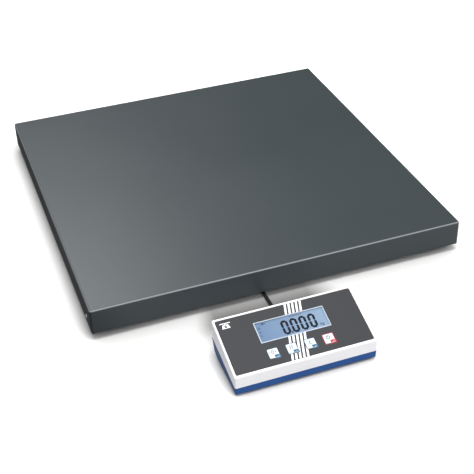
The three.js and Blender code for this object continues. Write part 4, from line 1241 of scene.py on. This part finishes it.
def window_pane():
    """The clear pane over the display, with a polished edge."""
    bm = bmesh.new()
    gap = 0.3 * MM
    outline = rectangle(
        DISPLAY_U, DISPLAY_V, DISPLAY_WIDTH - 2 * gap, DISPLAY_LENGTH - 2 * gap, 0.8 * MM
    )
    slab(bm, outline, -1.9 * MM, PANE_TOP, 0.15 * MM)
    panel_piece("window_pane", bm, PANE, "window_clear", nodes=("display_window",))


# The segments of one digit, as end points in units of the digit's half width and half height.
SEGMENTS = {
    "top": ((-1, 1), (1, 1)),
    "upper_right": ((1, 1), (1, 0)),
    "lower_right": ((1, 0), (1, -1)),
    "bottom": ((1, -1), (-1, -1)),
    "lower_left": ((-1, -1), (-1, 0)),
    "upper_left": ((-1, 0), (-1, 1)),
    "middle": ((-1, 0), (1, 0)),
}


def segment(bm, start, end, width, low, high):
    """One pointed segment of a digit, shortened to leave a gap at each end."""
    a, b = Vector(start), Vector(end)
    along = (b - a).normalized()
    across = Vector((-along.y, along.x)) * width / 2
    tip = along * width * 0.02
    shoulder = along * width * 0.34
    outline = [a + tip, a + shoulder - across, b - shoulder - across]
    outline += [b - tip, b - shoulder + across, a + shoulder + across]
    slab(bm, [tuple(p) for p in outline], low, high)


def digits():
    """Four upright zeros with a point after the first."""
    bm = bmesh.new()
    low, high = GLASS_TOP, GLASS_TOP + PRINT
    width, height, thick = 10.8 * MM, 23.6 * MM, 3.5 * MM
    pitch = 13.5 * MM
    first_u = DISPLAY_U - DISPLAY_WIDTH / 2 + 42.8 * MM
    v = DISPLAY_V - 1.2 * MM
    for number in range(4):
        centre = first_u + number * pitch
        for name, ends in SEGMENTS.items():
            if name == "middle":
                continue
            start, end = [
                (centre + x * (width - thick) / 2, v + y * (height - thick) / 2) for x, y in ends
            ]
            segment(bm, start, end, thick, low, high)
    dot_u = first_u + pitch / 2
    dot_v = v - height / 2 + thick / 2
    slab(bm, [(dot_u + x, dot_v + y) for x, y in circle(1.3 * MM, 20)], low, high)
    panel_piece("lit_digits", bm, SEGMENT, "display_glass")


def letters(text, size, u, v, low, high):
    """A mesh of a short text, with its lower left corner at (u, v)."""
    curve = bpy.data.curves.new("letters", "FONT")
    curve.body = text
    curve.size = size
    curve.extrude = (high - low) / 2
    curve.resolution_u = 4
    holder = bpy.data.objects.new("letters", curve)
    SCENE.collection.objects.link(holder)
    graph = bpy.context.evaluated_depsgraph_get()
    mesh = bpy.data.meshes.new_from_object(holder.evaluated_get(graph))
    bpy.data.objects.remove(holder)
    mesh.transform(Matrix.Translation((u, v, (low + high) / 2)))
    bm = bmesh.new()
    bm.from_mesh(mesh)
    bmesh.ops.remove_doubles(bm, verts=bm.verts, dist=0.001 * MM)
    bpy.data.meshes.remove(mesh)
    return bm


def display_marks():
    """The unit sign and the small status marks at the display's edges."""
    low, high = GLASS_TOP, GLASS_TOP + PRINT
    left = DISPLAY_U - DISPLAY_WIDTH / 2
    top = DISPLAY_V + DISPLAY_LENGTH / 2
    bottom = DISPLAY_V - DISPLAY_LENGTH / 2
    bm = letters("kg", 6.6 * MM, left + 91.6 * MM, bottom + 5.8 * MM, low, high)
    panel_piece("unit_sign", bm, SEGMENT, "display_glass")

    bm = bmesh.new()
    # A battery outline, a stable ring, a zero arrow and a row of small pointers.
    u = left + 14 * MM
    v = top - 4.1 * MM
    outline = [(u - 2.4 * MM, v - MM), (u + 2 * MM, v - MM), (u + 2 * MM, v + MM)]
    outline += [(u - 2.4 * MM, v + MM), (u - 2.4 * MM, v - MM)]
    stroke(bm, outline, 0.4 * MM, low, high)
    slab(bm, rectangle(u + 2.6 * MM, v, 0.6 * MM, 1.1 * MM), low, high)
    slab(bm, rectangle(u - 0.9 * MM, v, 1.8 * MM, 1.1 * MM), low, high)
    ring_u = left + 6.2 * MM
    ring_v = top - 10.2 * MM
    ring_print(
        bm,
        [(ring_u + x, ring_v + y) for x, y in circle(1.7 * MM, 28)],
        [(ring_u + x, ring_v + y) for x, y in circle(1.1 * MM, 28)],
        low,
        high,
    )
    for k in range(2):
        pointer_v = top - (16.5 + 6.2 * k) * MM
        corners = [(ring_u - 1.1 * MM, pointer_v - MM), (ring_u + 1.1 * MM, pointer_v)]
        corners.append((ring_u - 1.1 * MM, pointer_v + MM))
        slab(bm, corners, low, high)
    for k in range(6):
        tick_u = left + (55 + 3.2 * k) * MM
        slab(bm, rectangle(tick_u, top - 3.4 * MM, 2.2 * MM, 0.9 * MM), low, high)
    panel_piece("status_marks", bm, SEGMENT, "display_glass")


# --------------------------------------------------------------------------- console: the keys
def key_symbol(bm, key, u, v, low, high):
    """A generic sign for each key."""
    line = 1.0 * MM
    if key == "key_power":
        stroke(bm, arc_points(u, v, 2.6 * MM, 125, 415), line, low, high)
        stroke(bm, [(u, v + 0.6 * MM), (u, v + 3.4 * MM)], line, low, high)
    elif key == "key_zero":
        ring_print(
            bm,
            [(u + x * 0.75, v + y) for x, y in circle(2.9 * MM, 28)],
            [(u + x * 0.62, v + y) for x, y in circle(1.9 * MM, 28)],
            low,
            high,
        )
        for side in (-1, 1):
            tip = u + side * 3.0 * MM
            tail = u + side * 5.2 * MM
            slab(bm, [(tip, v), (tail, v - side * 1.2 * MM), (tail, v + side * 1.2 * MM)], low, high)
    elif key == "key_hold":
        for side in (-1, 1):
            slab(bm, rectangle(u + side * 1.5 * MM, v, 1.3 * MM, 5.4 * MM), low, high)
    else:
        stroke(bm, [(u - 3 * MM, v - 2.4 * MM), (u + 3 * MM, v - 2.4 * MM)], line, low, high)
        arrow = [(u, v - 1.3 * MM), (u + 2 * MM, v + 0.9 * MM), (u - 2 * MM, v + 0.9 * MM)]
        slab(bm, arrow, low, high)
        stroke(bm, [(u, v + 0.9 * MM), (u, v + 3.2 * MM)], line, low, high)


def keys():
    """Four caps with rounded edges, a coloured corner tab and a sign each."""
    top = 0.4 * MM
    for key in KEYS:
        u = KEY_U[key]
        bm = bmesh.new()
        half = KEY_SIZE / 2
        loops = []
        for inset, w in ((0.5, -4.6), (0, -4.2), (0, 0.0), (0.12, 0.25), (0.35, 0.36), (0.9, 0.4)):
            outline = rounded_rect(half - inset * MM, half - inset * MM, (1.3 - inset) * MM, 5)
            loops.append([(u + x, KEY_V + y, w * MM) for x, y in outline])
        skin(bm, loops)
        turned(bm, [(2 * MM, -9.8 * MM), (2 * MM, -4.4 * MM)], 20, (u, KEY_V, 0))
        cap = thing(f"{key}_cap", bm, KEY_FACE, PANEL_MATRIX)
        even_normals(cap)
        place(cap, key, "key_film", key)

        low, high = top, top + PRINT
        tab_ink = INK_RED if key == "key_power" else INK_TEAL
        tab_length, tab_height, past = 8.6 * MM, 5.8 * MM, 1.5 * MM
        right, bottom = u + half, KEY_V - half
        bm = bmesh.new()
        edge = 0.5 * MM
        left, upper = right + past - tab_length, bottom - past + tab_height
        outline = [(left, bottom + edge), (right - edge, bottom + edge)]
        slab(bm, outline + [(right - edge, upper), (left, upper)], low, high)
        panel_piece(f"{key}_tab", bm, tab_ink, "key_film", key)

        # The part of the tab that is printed on the overlay, outside the key's opening.
        bm = bmesh.new()
        hole = KEY_OPENING / 2
        outline = [(left, bottom - past), (right + past, bottom - past), (right + past, upper)]
        outline += [(u + hole, upper), (u + hole, KEY_V - hole), (left, KEY_V - hole)]
        slab(bm, outline, OVERLAY_TOP + PRINT, OVERLAY_TOP + 2 * PRINT)
        panel_piece(f"{key}_tab_edge", bm, tab_ink, "keypad_film")

        bm = bmesh.new()
        key_symbol(bm, key, u - 0.8 * MM, KEY_V + 1.9 * MM, low, high)
        panel_piece(f"{key}_sign", bm, INK_GREY, "key_film", key)
        bm = bmesh.new()
        spot_u, spot_v = right - 2.3 * MM, bottom + 2 * MM
        mark = [(spot_u - 0.5 * MM, spot_v - 0.5 * MM), (spot_u + 0.6 * MM, spot_v)]
        mark.append((spot_u - 0.5 * MM, spot_v + 0.5 * MM))
        slab(bm, mark, high, high + PRINT)
        panel_piece(f"{key}_pointer", bm, INK_WHITE, "key_film", key)


# ------------------------------------------------------------------------ finishes of CAD nodes
def soften(node_name, material, bevel=0.4 * MM):
    """A CAD node keeps its shape, with a new finish and its sharp edges eased."""
    node = frame["nodes"][node_name]
    node.data.materials.clear()
    node.data.materials.append(material)
    weld = node.modifiers.new("weld", "WELD")
    weld.merge_threshold = 0.005 * MM
    if bevel:
        ease = node.modifiers.new("ease", "BEVEL")
        ease.width = bevel
        ease.segments = 3
        ease.limit_method = "ANGLE"
        ease.angle_limit = math.radians(40)
        ease.use_clamp_overlap = True
    even_normals(node)


def finish_cad_nodes():
    """Materials for every CAD node that stays visible."""
    for name in ("stiffener_left", "stiffener_right", "cross_member"):
        soften(name, CHANNEL_COAT, 1.0 * MM)
    for corner in CORNERS:
        soften(f"load_cell_{corner}", ALLOY, 0.5 * MM)
        frame["nodes"][f"cell_cable_{corner}"].data.materials.clear()
        frame["nodes"][f"cell_cable_{corner}"].data.materials.append(CABLE)
    soften("junction_box", BOX_GREY, 0.8 * MM)
    soften("junction_box_lid", BOX_GREY, 0.8 * MM)
    soften("summing_board", BOARD, 0)
    soften("cable_gland", BLACK, 0.5 * MM)
    soften("battery_cover", BASE_BLUE, 0.2 * MM)
    soften("battery_pack", SLEEVE, 0.6 * MM)
    soften("cable_grommet", FOOT_RUBBER, 0.4 * MM)
    soften("power_socket", BLACK, 0.3 * MM)
    soften("backlight", GUIDE, 0.2 * MM)
    soften("main_board", BOARD, 0)


def lid_screws():
    """Four screws in the junction box's lid."""
    low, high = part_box("junction_box_lid")
    bm = bmesh.new()
    for x in (low.x + 6 * MM, high.x - 6 * MM):
        for y in (low.y + 6 * MM, high.y - 6 * MM):
            profile = [(1.2 * MM, -1.4 * MM), (2.4 * MM, -1.1 * MM), (3.0 * MM, -0.3 * MM)]
            profile += [(3.0 * MM, 0.2 * MM)]
            turned(bm, profile, 28, (x, y, low.z))
    piece = thing("lid_screws", bm, ZINC)
    bm = bmesh.new()
    for x in (low.x + 6 * MM, high.x - 6 * MM):
        for y in (low.y + 6 * MM, high.y - 6 * MM):
            corner = (x - 2.2 * MM, y - 0.35 * MM, low.z - 3 * MM)
            block(bm, corner, (x + 2.2 * MM, y + 0.35 * MM, low.z - 0.7 * MM))
    combine(piece, bm)
    place(piece, "platform", "zinc_steel")


# --------------------------------------------------------------------------------- the stage
def surround():
    """Even light on matt surfaces, and a graded studio for glossy ones to reflect."""
    world = bpy.data.worlds.new("surround")
    SCENE.world = world
    world.use_nodes = True
    tree = world.node_tree
    where = tree.nodes.new("ShaderNodeTexCoord").outputs["Generated"]
    split = tree.nodes.new("ShaderNodeSeparateXYZ")
    tree.links.new(where, split.inputs[0])

    # Matt surfaces: the right and the back are brighter than the left.
    side = tree.nodes.new("ShaderNodeMapRange")
    side.inputs["From Min"].default_value = -0.8
    side.inputs["From Max"].default_value = 0.8
    side.inputs["To Min"].default_value = 0.42
    side.inputs["To Max"].default_value = 1.18
    tree.links.new(split.outputs["X"], side.inputs["Value"])

    # Glossy surfaces: dark near the horizon and at the left, bright at middle height.
    ramp = tree.nodes.new("ShaderNodeValToRGB")
    stops = ((0.30, 0.05), (0.50, 0.10), (0.64, 0.45), (0.80, 0.30), (0.90, 0.12))
    elements = ramp.color_ramp.elements
    while len(elements) < len(stops):
        elements.new(0.5)
    for element, (position, value) in zip(elements, stops):
        element.position = position
        element.color = (value, value, value, 1)
    shield = tree.nodes.new("ShaderNodeMapRange")
    shield.inputs["From Min"].default_value = -0.6
    shield.inputs["From Max"].default_value = -0.2
    tree.links.new(split.outputs["X"], shield.inputs["Value"])
    height = tree.nodes.new("ShaderNodeMath")
    height.operation = "MULTIPLY"
    tree.links.new(split.outputs["Z"], height.inputs[0])
    tree.links.new(shield.outputs["Result"], height.inputs[1])
    tree.links.new(height.outputs[0], ramp.inputs["Fac"])

    rays = tree.nodes.new("ShaderNodeLightPath")
    mix = tree.nodes.new("ShaderNodeMix")
    mix.data_type = "RGBA"
    tree.links.new(rays.outputs["Is Glossy Ray"], mix.inputs["Factor"])
    tree.links.new(side.outputs["Result"], mix.inputs["A"])
    tree.links.new(ramp.outputs["Color"], mix.inputs["B"])
    tree.links.new(mix.outputs["Result"], tree.nodes["Background"].inputs["Color"])


def floor_and_light():
    """A pale floor, an even bright surround, and three soft lights: above, in front and from behind."""
    bm = bmesh.new()
    reach = 9.0
    corners = [(-reach, -reach), (reach, -reach), (reach, reach), (-reach, reach)]
    bm.faces.new([bm.verts.new((x, y, FLOOR)) for x, y in corners])
    floor = thing("studio_floor", bm, pale_floor("studio_floor"))

    surround()

    def softbox(name, at, size, power, aim=(0, 0, 0)):
        data = bpy.data.lights.new(name, "AREA")
        data.shape = "RECTANGLE"
        data.size, data.size_y = size
        data.energy = power
        light = bpy.data.objects.new(name, data)
        SCENE.collection.objects.link(light)
        light.location = at
        direction = Vector(aim) - Vector(at)
        light.rotation_euler = direction.to_track_quat("-Z", "Y").to_euler()

    softbox("overhead", (0.1, -0.6, 2.6), (1.0, 1.0), 48)
    softbox("front", (0.6, -2.2, 1.9), (1.2, 0.8), 24)
    softbox("back_sheen", (-0.35, 2.8, 3.1), (1.8, 1.2), 79)


CAMERA_AIM = Vector((-0.041, -0.206, 0))
CAMERA_DISTANCE = 1.603
CAMERA_AZIMUTH = math.radians(-19.2)
CAMERA_ELEVATION = math.radians(35.12)
CAMERA_ROLL = math.radians(-1.76)


def camera():
    """The viewing angle: from the front left, looking down at the load surface."""
    data = bpy.data.cameras.new("view")
    data.lens = 78.0
    data.sensor_width = 36.0
    view = bpy.data.objects.new("view", data)
    SCENE.collection.objects.link(view)
    level = Vector((math.cos(CAMERA_AZIMUTH), math.sin(CAMERA_AZIMUTH), 0))
    back = Vector((
        math.sin(CAMERA_AZIMUTH) * math.cos(CAMERA_ELEVATION),
        -math.cos(CAMERA_AZIMUTH) * math.cos(CAMERA_ELEVATION),
        math.sin(CAMERA_ELEVATION),
    ))
    above = back.cross(level)
    right = level * math.cos(CAMERA_ROLL) + above * math.sin(CAMERA_ROLL)
    up = back.cross(right)
    turn = Matrix((right, up, back)).transposed().to_4x4()
    view.matrix_world = Matrix.Translation(CAMERA_AIM + back * CAMERA_DISTANCE) @ turn
    SCENE.camera = view
    SCENE.view_settings.view_transform = "Standard"


# ------------------------------------------------------------------------------------ the build
load_plate()
weld_beads()
skirt_screw()
for corner_of_scale in CORNERS:
    foot(corner_of_scale)
    lock_nut(corner_of_scale)
    cell_bolts(corner_of_scale)
    cell_potting(corner_of_scale)
rounded_cables()
console_lead()
lid_screws()
top_shell()
base_shell()
console_feet()
console_screws()
overlay()
bars()
display_frame()
key_frames()
pictogram()
crystal_layer()
window_pane()
digits()
display_marks()
keys()
finish_cad_nodes()
floor_and_light()
camera()
